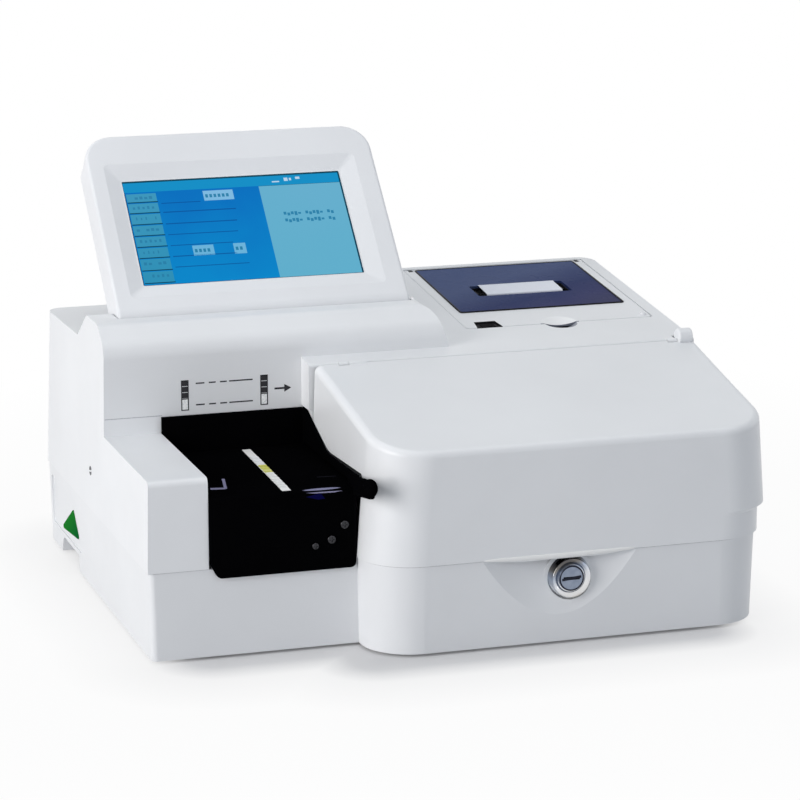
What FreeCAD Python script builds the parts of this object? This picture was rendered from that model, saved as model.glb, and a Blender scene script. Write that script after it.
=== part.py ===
import FreeCAD, Part
import math
import os

from FreeCAD import Vector, Rotation, Placement

# Bench-top urine strip analyser.  Millimetres, +Z up, +X to the right, +Y to the back.
# The origin is on the bench, under the middle of the whole analyser.

# ---------------------------------------------------------------- driving dimensions
overall_width = 413.0
overall_depth = 352.0
wall = 3.0                      # moulded housing wall
bench_gap = 1.5                 # lower housing above the bench
part_line_z = 59.5              # seam between lower and upper housing
seam_gap = 0.3                  # rest clearance between neighbouring pieces
slide_gap = 0.4                 # clearance beside sliding pieces
pin_gap = 0.05                  # radial running clearance of a pin in its bore

# plan of the analyser
left_block_setback = 36.5       # left block front behind the right block front
left_block_width = 39.4
bay_width = 96.5                # strip bay between the two blocks
bay_depth = 124.0               # strip bay front to the cover face
corner_radius = 35.0            # front corners of the right block
back_radius = 12.0
small_radius = 4.0

# heights
left_block_top_z = 118.7
face_foot_z = 130.3             # lower edge of the cover face over the strip bay
face_top_z = 177.0
crest_z = 190.0
left_deck_z = 171.0
left_deck_fall = 2.5

# display hump, distances back from the cover face
crest_start = 18.0
crest_end = 52.0
hump_end = 80.0
hump_width = 239.5              # from the left wall to the rounded right end
left_lean = 2.2                 # left wall leans in over its height
back_lean = 9.0

# flip cover
cover_length = 140.5            # front of the right block to the cover's rear edge
cover_front_z = 134.4
cover_rise = 0.2                # slope of the cover's top
cover_lean_front = 0.088        # side walls lean in, mm per mm of height
cover_lean_rear = 0.037
cover_ledge_z = 78.0            # finger ledge along the right skirt
cover_ledge = 4.25
cover_edge_radius = 5.0
hinge_pin_radius = 1.0
hinge_knuckle_radius = 2.0
hinge_boss_radius = 5.6         # raised round boss over the right hinge knuckle
hinge_boss_rise = 3.2
hinge_boss_length = 10.0
bulkhead_gap = 2.0              # between the cover's rear edge and the bulkhead behind it
hinge_lug_length = 6.7
lip_width = 106.0
lip_drop = 2.4

# printer section and its door
printer_slope = 5.87            # degrees
printer_front_z = 161.7         # top plane at the bulkhead behind the flip cover
door_width = 137.0
door_start_share = 0.2506       # of the level depth behind the bulkhead, in front of the door
door_rear_margin = 15.0         # behind the door
door_right_margin = 9.5
door_side_gap = 0.4
door_front_gap = 1.5
door_thickness = 3.0
panel_width = 122.5
panel_start = 34.0
panel_rear_margin = 3.0
panel_corner = 2.0
panel_thickness = 1.6
slot_width = 69.0
slot_length = 23.0
paper_width = 57.0
roll_radius = 22.0
roll_core_radius = 6.5
platen_radius = 5.0

# display pod
pod_width = 203.0
pod_length = 156.2              # round foot to top edge
pod_thickness = 26.0
pod_left = 20.5                 # pod's left edge from the left wall
pod_lean = 45.0                 # face angle from level
pod_corner = 20.0
screen_left = 22.0              # margins round the screen
screen_right = 26.9
screen_top = 37.2
screen_foot = 33.1
pod_pin_radius = 4.0

# strip tray
deck_z = 105.0
deck_thickness = 2.6
guard_thickness = 2.3
strip_passage = 1.7             # height of the slits that a strip leaves the tray through
tray_back_z = 129.6
apron_thickness = 2.2
apron_foot_z = 53.3
tab_length = 44.0
tab_reach = 6.38                # the tab's tip in front of the right block
strip_width = 5.6
strip_length = 110.0
strip_thickness = 0.6

# lock
lock_x_from_right = 144.0
lock_z = 43.0
lock_bezel_radius = 14.5
lock_plug_radius = 8.5
lock_body_radius = 9.8

# ---------------------------------------------------------------- derived places
left_x = -overall_width / 2
right_x = overall_width / 2
front_y = -overall_depth / 2 + tab_reach / 2
back_y = front_y + overall_depth
bay_front_y = front_y + left_block_setback
bay_left_x = left_x + left_block_width
bay_right_x = bay_left_x + bay_width
face_y = bay_front_y + bay_depth
cover_rear_y = front_y + cover_length
bulkhead_y = cover_rear_y + bulkhead_gap
door_start = door_start_share * (back_y - bulkhead_y)
door_length = back_y - bulkhead_y - door_start - door_rear_margin
panel_length = door_length - panel_start - panel_rear_margin
hump_right_x = left_x + hump_width
upper_right_x = right_x - 3.0
lower_right_x = right_x - 5.5
body_top_z = 205.0              # above every housing surface
hinge_y = cover_rear_y + 0.5
cover_rear_z = cover_front_z + cover_rise * (cover_length - 6.5)
hinge_z = cover_rear_z - 0.6


def vec(x, y, z):
    return Vector(x, y, z)


def box(x0, x1, y0, y1, z0, z1):
    return Part.makeBox(x1 - x0, y1 - y0, z1 - z0, vec(x0, y0, z0))


def rod_x(x0, x1, y, z, radius):
    return Part.makeCylinder(radius, x1 - x0, vec(x0, y, z), vec(1, 0, 0))


def rod_y(y0, y1, x, z, radius):
    return Part.makeCylinder(radius, y1 - y0, vec(x, y0, z), vec(0, 1, 0))


def rod_z(z0, z1, x, y, radius):
    return Part.makeCylinder(radius, z1 - z0, vec(x, y, z0), vec(0, 0, 1))


def rounded_wire(corners, place):
    """Closed wire through corners (a, b, radius); place puts the flat point (a, b) in space."""
    stops = []
    for index, (a, b, radius) in enumerate(corners):
        here = vec(a, b, 0)
        before = corners[index - 1]
        after = corners[(index + 1) % len(corners)]
        to_before = (vec(before[0], before[1], 0) - here).normalize()
        to_after = (vec(after[0], after[1], 0) - here).normalize()
        if radius <= 0:
            stops.append((here, None, here))
            continue
        half = to_before.getAngle(to_after) / 2
        reach = radius / math.tan(half)
        middle = (to_before + to_after).normalize() * (radius / math.sin(half) - radius)
        stops.append((here + to_before * reach, here + middle, here + to_after * reach))
    edges = []
    for index, (start, middle, end) in enumerate(stops):
        previous_end = stops[index - 1][2]
        if previous_end.distanceToPoint(start) > 1e-6:
            edges.append(Part.LineSegment(place(previous_end), place(start)).toShape())
        if middle is not None:
            edges.append(Part.Arc(place(start), place(middle), place(end)).toShape())
    return Part.Wire(edges)


def level(z):
    return lambda p: vec(p.x, p.y, z)


def upright(x):
    """Flat points (y, z) in the plane at this x."""
    return lambda p: vec(x, p.x, p.y)


def frontal(y):
    """Flat points (x, z) in the plane at this y."""
    return lambda p: vec(p.x, y, p.y)


def plate(corners, z0, z1):
    return Part.Face(rounded_wire(corners, level(z0))).extrude(vec(0, 0, z1 - z0))


def bar_x(corners, x0, x1):
    return Part.Face(rounded_wire(corners, upright(x0))).extrude(vec(x1 - x0, 0, 0))


def bar_y(corners, y0, y1):
    return Part.Face(rounded_wire(corners, frontal(y0))).extrude(vec(0, y1 - y0, 0))


def loft(corners_low, z_low, corners_high, z_high):
    wires = [rounded_wire(corners_low, level(z_low)), rounded_wire(corners_high, level(z_high))]
    return Part.makeLoft(wires, True, True)


def rectangle(a0, a1, b0, b1, radius=0.0):
    return [(a0, b0, radius), (a1, b0, radius), (a1, b1, radius), (a0, b1, radius)]


def joined(shapes):
    whole = shapes[0]
    for shape in shapes[1:]:
        whole = whole.fuse(shape)
    return whole.removeSplitter()


def less(shape, tools):
    for tool in tools:
        shape = shape.cut(tool)
    return shape


def soften(shape, radius, chosen):
    """Fillet the edges for which chosen(edge) is true."""
    edges = [edge for edge in shape.Edges if chosen(edge)]
    return shape.makeFillet(radius, edges) if edges else shape


# ---------------------------------------------------------------- lower housing
lower_top_inset = 0.8
lower_bottom_inset = 2.4
scoop_half_width = 53.0
scoop_depth = 9.0
scoop_foot_z = 14.0
lock_x = right_x - lock_x_from_right
scoop_x = lock_x - 8.0
lock_face_y = front_y + 0.3
arch_start = bay_front_y + 216.0
arch_length = 52.0
arch_height = 12.0
side_recess_depth = 0.9
foot_radius = 9.0
foot_height = 6.0
foot_pocket = 4.3
foot_inset = 24.0
lock_bezel_depth = 6.0
lock_boss_depth = 7.0
chassis_z = 10.0
chassis_thickness = 1.5


def footprint(inset, right=lower_right_x):
    """Plan outline of the analyser at the seam, moved inwards by inset."""
    corner = corner_radius - inset
    back = back_radius - inset
    return [
        (left_x + inset, back_y - inset, back),
        (left_x + inset, bay_front_y + inset, small_radius),
        (bay_right_x + inset, bay_front_y + inset, 0),
        (bay_right_x + inset, front_y + inset, corner),
        (right - inset, front_y + inset, corner),
        (right - inset, back_y - inset, back),
    ]


def scoop_tool(grow):
    """Tilted round cut that makes the finger scoop under the flip cover's lip."""
    radius = (scoop_half_width ** 2 + scoop_depth ** 2) / (2 * scoop_depth)
    tilt = math.atan(scoop_depth / (part_line_z - scoop_foot_z))
    length = 3 * part_line_z
    tool = Part.makeCylinder(radius + grow, length, vec(0, 0, -length / 2), vec(0, 0, 1))
    tool.rotate(vec(0, 0, 0), vec(1, 0, 0), -math.degrees(tilt))
    surface_y = front_y + lower_top_inset
    tool.translate(vec(scoop_x, surface_y + scoop_depth - radius / math.cos(tilt), part_line_z))
    return tool


def foot_places():
    return [
        (left_x + foot_inset, bay_front_y + foot_inset),
        (left_x + foot_inset, back_y - foot_inset),
        (bay_right_x + foot_inset + 8.0, front_y + foot_inset + 8.0),
        (lower_right_x - foot_inset - 8.0, front_y + foot_inset + 8.0),
        (lower_right_x - foot_inset, back_y - foot_inset),
    ]


def make_lower_housing():
    outer = loft(footprint(lower_bottom_inset), bench_gap, footprint(lower_top_inset), part_line_z)
    inner = loft(footprint(lower_bottom_inset + wall), bench_gap + wall,
                 footprint(lower_top_inset + wall), part_line_z + 0.01)
    inner = inner.cut(scoop_tool(wall))
    shell = outer.cut(scoop_tool(0)).cut(inner)
    boss_back = lock_face_y + lock_bezel_depth + lock_boss_depth
    boss = rod_y(lock_face_y + lock_bezel_depth, boss_back, lock_x, lock_z, lock_bezel_radius + 2.5)
    shell = shell.fuse(boss.common(outer))
    shell = shell.cut(rod_y(front_y - 5, lock_face_y + lock_bezel_depth, lock_x, lock_z,
                            lock_bezel_radius + seam_gap))
    shell = shell.cut(rod_y(front_y - 5, boss_back + 5, lock_x, lock_z, lock_body_radius + pin_gap))
    pad = wall + foot_pocket - 1.0
    for x, y in foot_places():
        shell = shell.fuse(rod_z(bench_gap, bench_gap + pad + 1.0, x, y, foot_radius + wall))
        shell = shell.cut(rod_z(0, bench_gap + foot_pocket, x, y, foot_radius + seam_gap))
    arch = bar_x([(arch_start, 0, 0), (arch_start, bench_gap + arch_height, 3.0),
                  (arch_start + arch_length, bench_gap + arch_height, 10.0),
                  (arch_start + arch_length + 4.0, 0, 0)], left_x - 2, left_x + 12)
    arch_wall = bar_x([(arch_start - wall, bench_gap, 0),
                       (arch_start - wall, bench_gap + arch_height + wall, 3.0),
                       (arch_start + arch_length + wall, bench_gap + arch_height + wall, 10.0),
                       (arch_start + arch_length + 4.0 + wall, bench_gap, 0)],
                      left_x + lower_bottom_inset + 1.0, left_x + 12 + wall)
    shell = shell.fuse(arch_wall).cut(arch)
    shell = shell.cut(side_recess_tool())
    for x, y in chassis_post_places():
        shell = shell.fuse(rod_z(bench_gap + wall - 0.5, chassis_z, x, y, 4.5))
    for x, y in housing_post_places():
        shell = shell.fuse(rod_z(bench_gap + 1.0, part_line_z, x, y, 5.0))
        shell = shell.cut(rod_z(0, part_line_z - 10.0, x, y, 3.5))
        shell = shell.cut(rod_z(0, part_line_z + 1.0, x, y, 1.7))
    shell = shell.cut(rear_opening_tool(0))
    return shell.removeSplitter()


def side_recess_tool():
    """Shallow field low on the left wall, behind the arch."""
    y0, y1 = arch_start - 10.0, back_y - 16.0
    z0, z1 = bench_gap + arch_height + 3.0, part_line_z - 8.5
    face = rounded_wire(rectangle(y0, y1, z0, z1, 4.0), upright(left_x - 3))
    return Part.Face(face).extrude(vec(3 + lower_bottom_inset * 0.8 + side_recess_depth, 0, 0))


def make_feet():
    feet = []
    for x, y in foot_places():
        foot = Part.makeCone(foot_radius - 1.2, foot_radius, foot_height - seam_gap * 0.7,
                             vec(x, y, 0), vec(0, 0, 1))
        feet.append(foot)
    return Part.makeCompound(feet)


# ---------------------------------------------------------------- upper housing
envelope_top = body_top_z
printer_slope_rise = math.tan(math.radians(printer_slope))


def printer_top_z(y):
    return printer_front_z + printer_slope_rise * (y - bulkhead_y)


def left_body(inset):
    """Left part with the display hump, as a profile run across the analyser."""
    low = part_line_z - 10.0
    crest_front = face_y + crest_start
    crest_back = face_y + crest_end
    profile = rounded_wire([
        (face_y, low, 0),
        (face_y, face_top_z, 14.0),
        (crest_front, crest_z, 12.0),
        (crest_back, crest_z, 6.0),
        (face_y + hump_end, left_deck_z, 2.0),
        (back_y + 6.0, left_deck_z - left_deck_fall, 0),
        (back_y + 6.0, low, 0),
    ], upright(left_x - 6.0))
    body = Part.Face(inside(profile, inset)).extrude(vec(hump_width + 6.0 + 6.0, 0, 0))
    right_end = rounded_wire([
        (left_x - 7.0, low - 1.0, 0),
        (hump_right_x, low - 1.0, 0),
        (hump_right_x, printer_front_z + 3.0, 12.0),
        (hump_right_x - 8.0, crest_z + 0.01, 13.0),
        (left_x - 7.0, crest_z + 0.01, 0),
    ], frontal(face_y - 5.0))
    ends = Part.Face(inside(right_end, inset)).extrude(vec(0, back_y - face_y + 20.0, 0))
    return body.common(ends)


def inside(wire, inset):
    """The wire itself, or one that runs inset further in."""
    if inset == 0:
        return wire
    shrunk = wire.makeOffset2D(-inset)
    if shrunk.BoundBox.DiagonalLength > wire.BoundBox.DiagonalLength:
        shrunk = wire.makeOffset2D(inset)
    return shrunk


def right_body(inset):
    """Right rear part that carries the printer, with a sloping top."""
    low = part_line_z - 10.0
    profile = rounded_wire([
        (bulkhead_y, low, 0),
        (bulkhead_y, printer_front_z, 2.0),
        (back_y + 6.0, printer_top_z(back_y + 6.0), 0),
        (back_y + 6.0, low, 0),
    ], upright(bay_right_x - 6.0))
    body = Part.Face(inside(profile, inset)).extrude(vec(right_x - bay_right_x + 12.0, 0, 0))
    left_low = bay_right_x + inset
    right_low = upper_right_x - inset
    sides_low = rectangle(left_low, right_low, bulkhead_y - 5.0, back_y + 10.0)
    sides_high = rectangle(left_low + cover_lean_rear, right_low, bulkhead_y - 5.0, back_y + 10.0)
    body = body.common(loft(sides_low, part_line_z - 20.0, sides_high, envelope_top))
    behind_hump = box(bay_right_x - 10.0, hump_right_x - 3.0 + inset, face_y + 3.0 - inset,
                      back_y + 20.0, part_line_z - 30.0, envelope_top + 5.0)
    return body.cut(behind_hump)


def left_block(inset):
    corners = [
        (bay_front_y + inset, part_line_z - 10.0, 0),
        (bay_front_y + inset, left_block_top_z - inset, small_radius if inset == 0 else 1.0),
        (face_y + 12.0, left_block_top_z - inset, 0),
        (face_y + 12.0, part_line_z - 10.0, 0),
    ]
    return bar_x(corners, left_x - 2.0, bay_left_x - inset)


def envelope(inset):
    """Leaning left and back walls shared by the whole upper housing."""
    def outline(lean_left, lean_back):
        return [
            (left_x + inset + lean_left, back_y - inset - lean_back, back_radius - inset),
            (left_x + inset + lean_left, front_y, small_radius if inset == 0 else 1.0),
            (right_x + 4.0, front_y, 0),
            (right_x + 4.0, back_y - inset - lean_back, 0),
        ]
    rise = (part_line_z - 12.0, left_deck_z)
    slope_left = left_lean / (rise[1] - part_line_z)
    slope_back = back_lean / (rise[1] - part_line_z)
    low = outline(slope_left * (rise[0] - part_line_z), slope_back * (rise[0] - part_line_z))
    high = outline(slope_left * (envelope_top - part_line_z),
                   slope_back * (envelope_top - part_line_z))
    return loft(low, rise[0], high, envelope_top)


def right_envelope(inset):
    """Rounded right rear corner."""
    def outline(lean_back):
        return [
            (left_x - 10.0, back_y - inset - lean_back, 0),
            (left_x - 10.0, front_y - 10.0, 0),
            (upper_right_x - inset, front_y - 10.0, 0),
            (upper_right_x - inset, back_y - inset - lean_back, back_radius - inset),
        ]
    slope_back = back_lean / (left_deck_z - part_line_z)
    return loft(outline(slope_back * -12.0), part_line_z - 12.0,
                outline(slope_back * (envelope_top - part_line_z)), envelope_top)


pod_tangent_z = crest_z + 4.2
pod_half = pod_thickness / 2
pod_axis_y = face_y + 47.0
pod_axis_z = left_deck_z + pod_half + 1.2
pod_left_x = left_x + pod_left
pod_right_x = pod_left_x + pod_width
pod_side_gap = 0.8


def pod_trough(grow):
    """Space behind the crest in which the round foot of the display turns."""
    x0 = pod_left_x - pod_side_gap - grow
    x1 = pod_right_x + pod_side_gap + grow
    radius = pod_half + 1.0 + grow
    floor_z = pod_axis_z - radius
    round_part = rod_x(x0, x1, pod_axis_y, pod_axis_z, radius)
    above = box(x0, x1, pod_axis_y - radius, face_y + hump_end + 25.0, pod_axis_z, body_top_z + 5.0)
    behind = box(x0, x1, pod_axis_y, face_y + hump_end + 25.0, floor_z, body_top_z + 5.0)
    return joined([round_part, above, behind])


def upper_form(inset):
    form = joined([left_body(inset), right_body(inset), left_block(inset)])
    form = form.common(envelope(inset)).common(right_envelope(inset))
    return form.cut(pod_trough(inset))


def above_seam(shape):
    return shape.common(box(left_x - 20, right_x + 20, front_y - 20, back_y + 20,
                            part_line_z, body_top_z + 20))


# ---------------------------------------------------------------- flip cover
def cover_top_z(y):
    return cover_front_z + cover_rise * (y - front_y - 6.5)


def cover_outline(inset, z, right_edge):
    """Plan outline of the flip cover at height z; right_edge is its right wall there."""
    rise = z - part_line_z
    right_rise = max(0.0, z - cover_ledge_z)
    corner = corner_radius - inset
    rear = cover_rear_y if inset == 0 else cover_rear_y + 10.0
    return [
        (bay_right_x + inset + cover_lean_rear * rise, rear, 0),
        (bay_right_x + inset + cover_lean_front * rise, front_y + inset, corner),
        (right_edge - inset - cover_lean_front * right_rise, front_y + inset, corner),
        (right_edge - inset - cover_lean_rear * right_rise, rear, 0),
    ]


def cover_form(inset):
    skirt_right = right_x - cover_ledge
    stations = [
        (part_line_z - (0 if inset == 0 else 5.0), skirt_right),
        (cover_ledge_z - 2.5 - inset * 0.5, skirt_right),
        (cover_ledge_z - inset * 0.5, right_x),
        (cover_rear_z + 20.0, right_x),
    ]
    wires = [rounded_wire(cover_outline(inset, z, right), level(z)) for z, right in stations]
    hood = Part.makeLoft(wires, True, True)
    y0 = front_y - 10.0
    y1 = cover_rear_y + 20.0
    top_z = cover_rear_z + 60.0
    above = bar_x([(y0, cover_top_z(y0) - inset, 0), (y1, cover_top_z(y1) - inset, 0),
                   (y1, top_z, 0), (y0, top_z, 0)], bay_right_x - 20, right_x + 20)
    hood = hood.cut(above)

    def top_edge(edge):
        middle = edge.valueAt((edge.FirstParameter + edge.LastParameter) / 2)
        near_top = abs(middle.z - (cover_top_z(middle.y) - inset)) < 0.05
        return near_top and middle.y < (cover_rear_y - 2.0)
    return soften(hood, cover_edge_radius - inset, top_edge)


def hinge_lug_spans():
    """X spans of the two hinge lugs that stand on the bulkhead."""
    right_start = right_x - 6.0 - hinge_boss_length - 0.6 - hinge_lug_length
    left_start = bay_right_x + 20.0
    return [(left_start, left_start + hinge_lug_length),
            (right_start, right_start + hinge_lug_length)]


def knuckle_spans():
    """X spans of the flip cover's own hinge knuckles, left and right."""
    left_lug, right_lug = hinge_lug_spans()
    left = (left_lug[1] + seam_gap, left_lug[1] + seam_gap + 12.0)
    right = (right_lug[1] + seam_gap, right_lug[1] + seam_gap + hinge_boss_length)
    return [left, right]


def skirt_notch_tool():
    """Opening in the cover's left skirt above the strip tray's guard."""
    corners = [
        (bay_front_y - 0.8, part_line_z - 10, 0),
        (bay_front_y - 0.8, 113.2, 3.0),
        (bay_front_y + 70.0, 111.5, 40.0),
        (bay_front_y + 104.5, 124.2, 0),
        (cover_rear_y + 20.0, 124.2 + 7.0, 0),
        (cover_rear_y + 20.0, part_line_z - 10, 0),
    ]
    return bar_x(corners, bay_right_x - 10.0, bay_right_x + 16.0)


catch_y = front_y + 27.4
catch_width = 26.0


def make_flip_cover():
    outer = cover_form(0)
    shell = outer.cut(cover_form(wall))
    half = lip_width / 2 - 2.0
    lip = bar_y([(scoop_x - half, part_line_z + 1.0, 0), (scoop_x - half, part_line_z - 0.2, 0),
                 (scoop_x - half * 0.55, part_line_z - lip_drop, 60.0),
                 (scoop_x + half * 0.55, part_line_z - lip_drop, 60.0),
                 (scoop_x + half, part_line_z - 0.2, 0), (scoop_x + half, part_line_z + 1.0, 0)],
                front_y, front_y + wall)
    free = scoop_tool(-seam_gap - 0.2)
    above = box(scoop_x - half - 5, scoop_x + half + 5, front_y - 5, front_y + 10,
                part_line_z, part_line_z + 2)
    shell = shell.fuse(lip.common(joined([free, above])))
    shell = shell.cut(skirt_notch_tool())
    left, right = knuckle_spans()
    for x0, x1 in (left, right):
        shell = shell.fuse(rod_x(x0, x1, hinge_y, hinge_z, hinge_knuckle_radius))
        shell = shell.fuse(box(x0, x1, hinge_y - 4.0, hinge_y, hinge_z - hinge_knuckle_radius, hinge_z))
    boss = rod_x(right[0], right[1], hinge_y, hinge_z + hinge_boss_rise, hinge_boss_radius)
    boss = soften(boss, 1.2, lambda e: abs(e.Length - 2 * math.pi * hinge_boss_radius) < 0.5)
    shell = shell.fuse(boss)
    for x0, x1 in hinge_lug_spans():
        shell = shell.cut(box(x0 - seam_gap, x1 + seam_gap, hinge_y - 3.0, hinge_y + 10.0,
                              hinge_z - 6.0, hinge_z + 10.0))
    for x0, x1 in (left, right):
        shell = shell.cut(rod_x(x0 - 1, x1 - 3.0, hinge_y, hinge_z, hinge_pin_radius + pin_gap))
    for x in (bay_right_x + 85.0, bay_right_x + 205.0):
        rib = box(x, x + 2.0, front_y + 30.0, cover_rear_y - 12.0, 80.0, 200.0).common(cover_form(wall - 0.01))
        keep = bar_x([(front_y, cover_top_z(front_y) - wall - 9.0, 0),
                      (cover_rear_y, cover_top_z(cover_rear_y) - wall - 9.0, 0),
                      (cover_rear_y, 260.0, 0), (front_y, 260.0, 0)], x - 1, x + 3)
        shell = shell.fuse(rib.common(keep))
    arm = box(lock_x - catch_width / 2, lock_x + catch_width / 2, front_y + wall - 0.5, catch_y + 3.0,
              part_line_z + 20.0, part_line_z + 23.0)
    shell = shell.fuse(arm)
    return shell.removeSplitter()


def make_cover_catch():
    """Steel striker under the cover's front; the lock cam turns up in front of it."""
    x0, x1 = lock_x - catch_width / 2 + 2.0, lock_x + catch_width / 2 - 2.0
    plate_low = bar_y([(x0, part_line_z + 20.0, 0), (x1, part_line_z + 20.0, 0),
                       (x1, part_line_z - 2.0, 2.0), (x0, part_line_z - 2.0, 2.0)],
                      catch_y, catch_y + 1.5)
    foot = box(x0, x1, catch_y - 12.0, catch_y + 1.5, part_line_z + 18.5, part_line_z + 20.0)
    return joined([plate_low, foot])


def make_cover_hinge_pins():
    pins = []
    for lug, knuckle in zip(hinge_lug_spans(), knuckle_spans()):
        pins.append(rod_x(lug[0] + 1.0, knuckle[1] - 3.5, hinge_y, hinge_z, hinge_pin_radius))
    return Part.makeCompound(pins)


# ---------------------------------------------------------------- printer frame of reference
door_y = bulkhead_y + door_start
door_z = printer_top_z(door_y)
printer_x = upper_right_x - door_right_margin - door_width / 2
door_half = door_width / 2
roll_v = door_length - roll_radius - 8.0
roll_w = -roll_radius - 9.0
platen_v = roll_v - 47.5
platen_w = -9.0
head_v = platen_v + 5.8
slot_start = platen_v + 5.5
door_hinge_v = door_length - 2.2
door_hinge_w = -2.2


def on_printer(shape):
    """Moves a shape made on level ground onto the sloping printer top."""
    moved = shape.copy()
    tilt = Rotation(vec(1, 0, 0), printer_slope)
    moved.Placement = Placement(vec(printer_x, door_y, door_z), tilt)
    return moved


def printer_opening(grow):
    side = door_half + door_side_gap + grow
    front, back = -door_front_gap - grow, door_length + 0.6 + grow
    return [(-side, front, 3.0), (side, front, 3.0), (side, back, 0.4), (-side, back, 0.4)]


dimple_wall = 2.2


def dimple_ball(grow):
    """Ball that makes the finger dimple in front of the printer door and under its edge."""
    return Part.makeSphere(16.9 + grow, vec(0, -1.0, 12.4))


# ---------------------------------------------------------------- upper housing openings
rear_x0 = left_x + 30.0
rear_x1 = right_x - 40.0
rear_z0 = 20.0
rear_z1 = 92.0
screw_y = bay_front_y + 165.0
screw_z = 86.0
ear_x0 = pod_left_x - pod_side_gap - wall
ear_x1 = pod_right_x + pod_side_gap + wall
bay_mouth_foot_z = 62.0
guard_right_x = bay_right_x + 1.95
niche_top_z = tray_back_z + 1.2


def rear_opening_tool(grow):
    """Hole through the back walls for the rear panel."""
    return box(rear_x0 - grow, rear_x1 + grow, back_y - 25.0, back_y + 10.0,
               rear_z0 - grow, rear_z1 + grow)


def make_upper_housing():
    outer = above_seam(upper_form(0))
    shell = outer.cut(upper_form(wall))
    opening = plate(printer_opening(0), -wall - 4.0, 20.0)
    shell = shell.cut(on_printer(opening))
    backing = dimple_ball(dimple_wall).common(box(-30, 30, -40, -door_front_gap, -12, -1.0))
    shell = shell.fuse(on_printer(backing)).cut(on_printer(dimple_ball(0)))
    tunnel = box(bay_left_x + 4.0, bay_right_x - 4.0, face_y - 1.0, face_y + wall + 1.0,
                 bay_mouth_foot_z, deck_z - 6.0)
    shell = shell.cut(tunnel)
    niche_x = guard_right_x + 0.4
    liner = box(niche_x - 1.0, niche_x + wall, bulkhead_y, face_y + wall, part_line_z, niche_top_z + wall)
    lid = box(bay_right_x, niche_x + wall, bulkhead_y, face_y + wall, niche_top_z, niche_top_z + wall)
    niche = box(bay_right_x - 5.0, niche_x, bulkhead_y - 5.0, face_y, part_line_z - 1.0, niche_top_z)
    shell = shell.fuse(liner).fuse(lid).cut(niche)
    shell = shell.cut(box(niche_x - 2.0, niche_x + wall + 3.5, bulkhead_y - 1.0, tray_back_y - 5.0,
                          deck_z - 0.8, deck_z + strip_passage + 0.4))
    for x0, x1 in hinge_lug_spans():
        lug = rod_x(x0, x1, hinge_y, hinge_z, hinge_knuckle_radius)
        arm = box(x0, x1, hinge_y, bulkhead_y + 1.0, hinge_z - hinge_knuckle_radius, hinge_z + 1.0)
        shell = shell.fuse(lug).fuse(arm)
        shell = shell.cut(rod_x(x0 - 1, x1 + 1, hinge_y, hinge_z, hinge_pin_radius + 0.005))
    left, right = knuckle_spans()
    shell = shell.cut(rod_x(left[0] - seam_gap, left[1] + seam_gap, hinge_y, hinge_z,
                            hinge_knuckle_radius + seam_gap))
    swing = hinge_boss_radius + hinge_boss_rise + seam_gap + 0.1
    pocket = rod_x(right[0] - seam_gap, right[1] + seam_gap, hinge_y, hinge_z, swing)
    liner = rod_x(right[0] - seam_gap - 2.0, right[1] + seam_gap + 2.0, hinge_y, hinge_z, swing + 2.0)
    liner = liner.common(box(right[0] - 5, upper_right_x - 1.0, bulkhead_y, bulkhead_y + 20,
                             hinge_z - 20, printer_front_z - 1.0))
    shell = shell.fuse(liner).cut(pocket)
    for x0, x1 in ((ear_x0 - 2.5, ear_x0 + wall + 1.0), (ear_x1 - wall - 1.0, ear_x1 + 2.5)):
        shell = shell.cut(rod_x(x0, x1, pod_axis_y, pod_axis_z, pod_pin_radius + pin_gap))
    shell = shell.cut(rear_opening_tool(0))
    sink = rod_x(left_x - 2.0, left_x + 2.4, screw_y, screw_z, 3.4)
    shell = shell.cut(joined([sink, rod_x(left_x + 1.0, left_x + 8.0, screw_y, screw_z, 1.55)]))
    room = above_seam(upper_form(wall - 0.5))
    for x, y in housing_post_places():
        post = rod_z(part_line_z, part_line_z + 20.0, x, y, 4.5)
        web = housing_post_web(x, y)
        shell = shell.fuse(post.fuse(web).common(room))
        shell = shell.cut(rod_z(part_line_z - 1.0, part_line_z + 11.0, x, y, 1.5))
    return shell


def housing_post_places():
    return [
        (left_x + 12.0, bay_front_y + 60.0),
        (left_x + 12.0, bay_front_y + 194.5),
        (upper_right_x - 14.0, back_y - 60.0),
        (upper_right_x - 14.0, bulkhead_y + 30.0),
    ]


def housing_post_web(x, y):
    """Web that ties a screw post to the nearest side wall."""
    if x < 0:
        return box(left_x, x, y - 1.0, y + 1.0, part_line_z, part_line_z + 19.0)
    return box(x, upper_right_x, y - 1.0, y + 1.0, part_line_z, part_line_z + 19.0)


# ---------------------------------------------------------------- display pod
pod_reach = pod_length - pod_half
pod_x = (pod_left_x + pod_right_x) / 2
pod_split_w = 2.0
pod_wall = 2.5
pod_rim_radius = 2.2
bevel_left = 11.0
bevel_right = 13.0
bevel_foot = 10.6
bevel_head = 13.0
bevel_depth = 2.6
screen_x0 = -pod_width / 2 + screen_left
screen_x1 = pod_width / 2 - screen_right
screen_v1 = pod_reach - screen_top
screen_v0 = screen_foot - pod_half
flange_w0 = pod_half - bevel_depth - 1.6
lcd_margin = 5.4
lcd_body_depth = 5.6


def on_pod(shape):
    """Moves a shape made in the pod's own frame (x, up the face, out of the face) into place."""
    moved = shape.copy()
    moved.Placement = Placement(vec(pod_x, pod_axis_y, pod_axis_z), Rotation(vec(1, 0, 0), pod_lean))
    return moved


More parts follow.
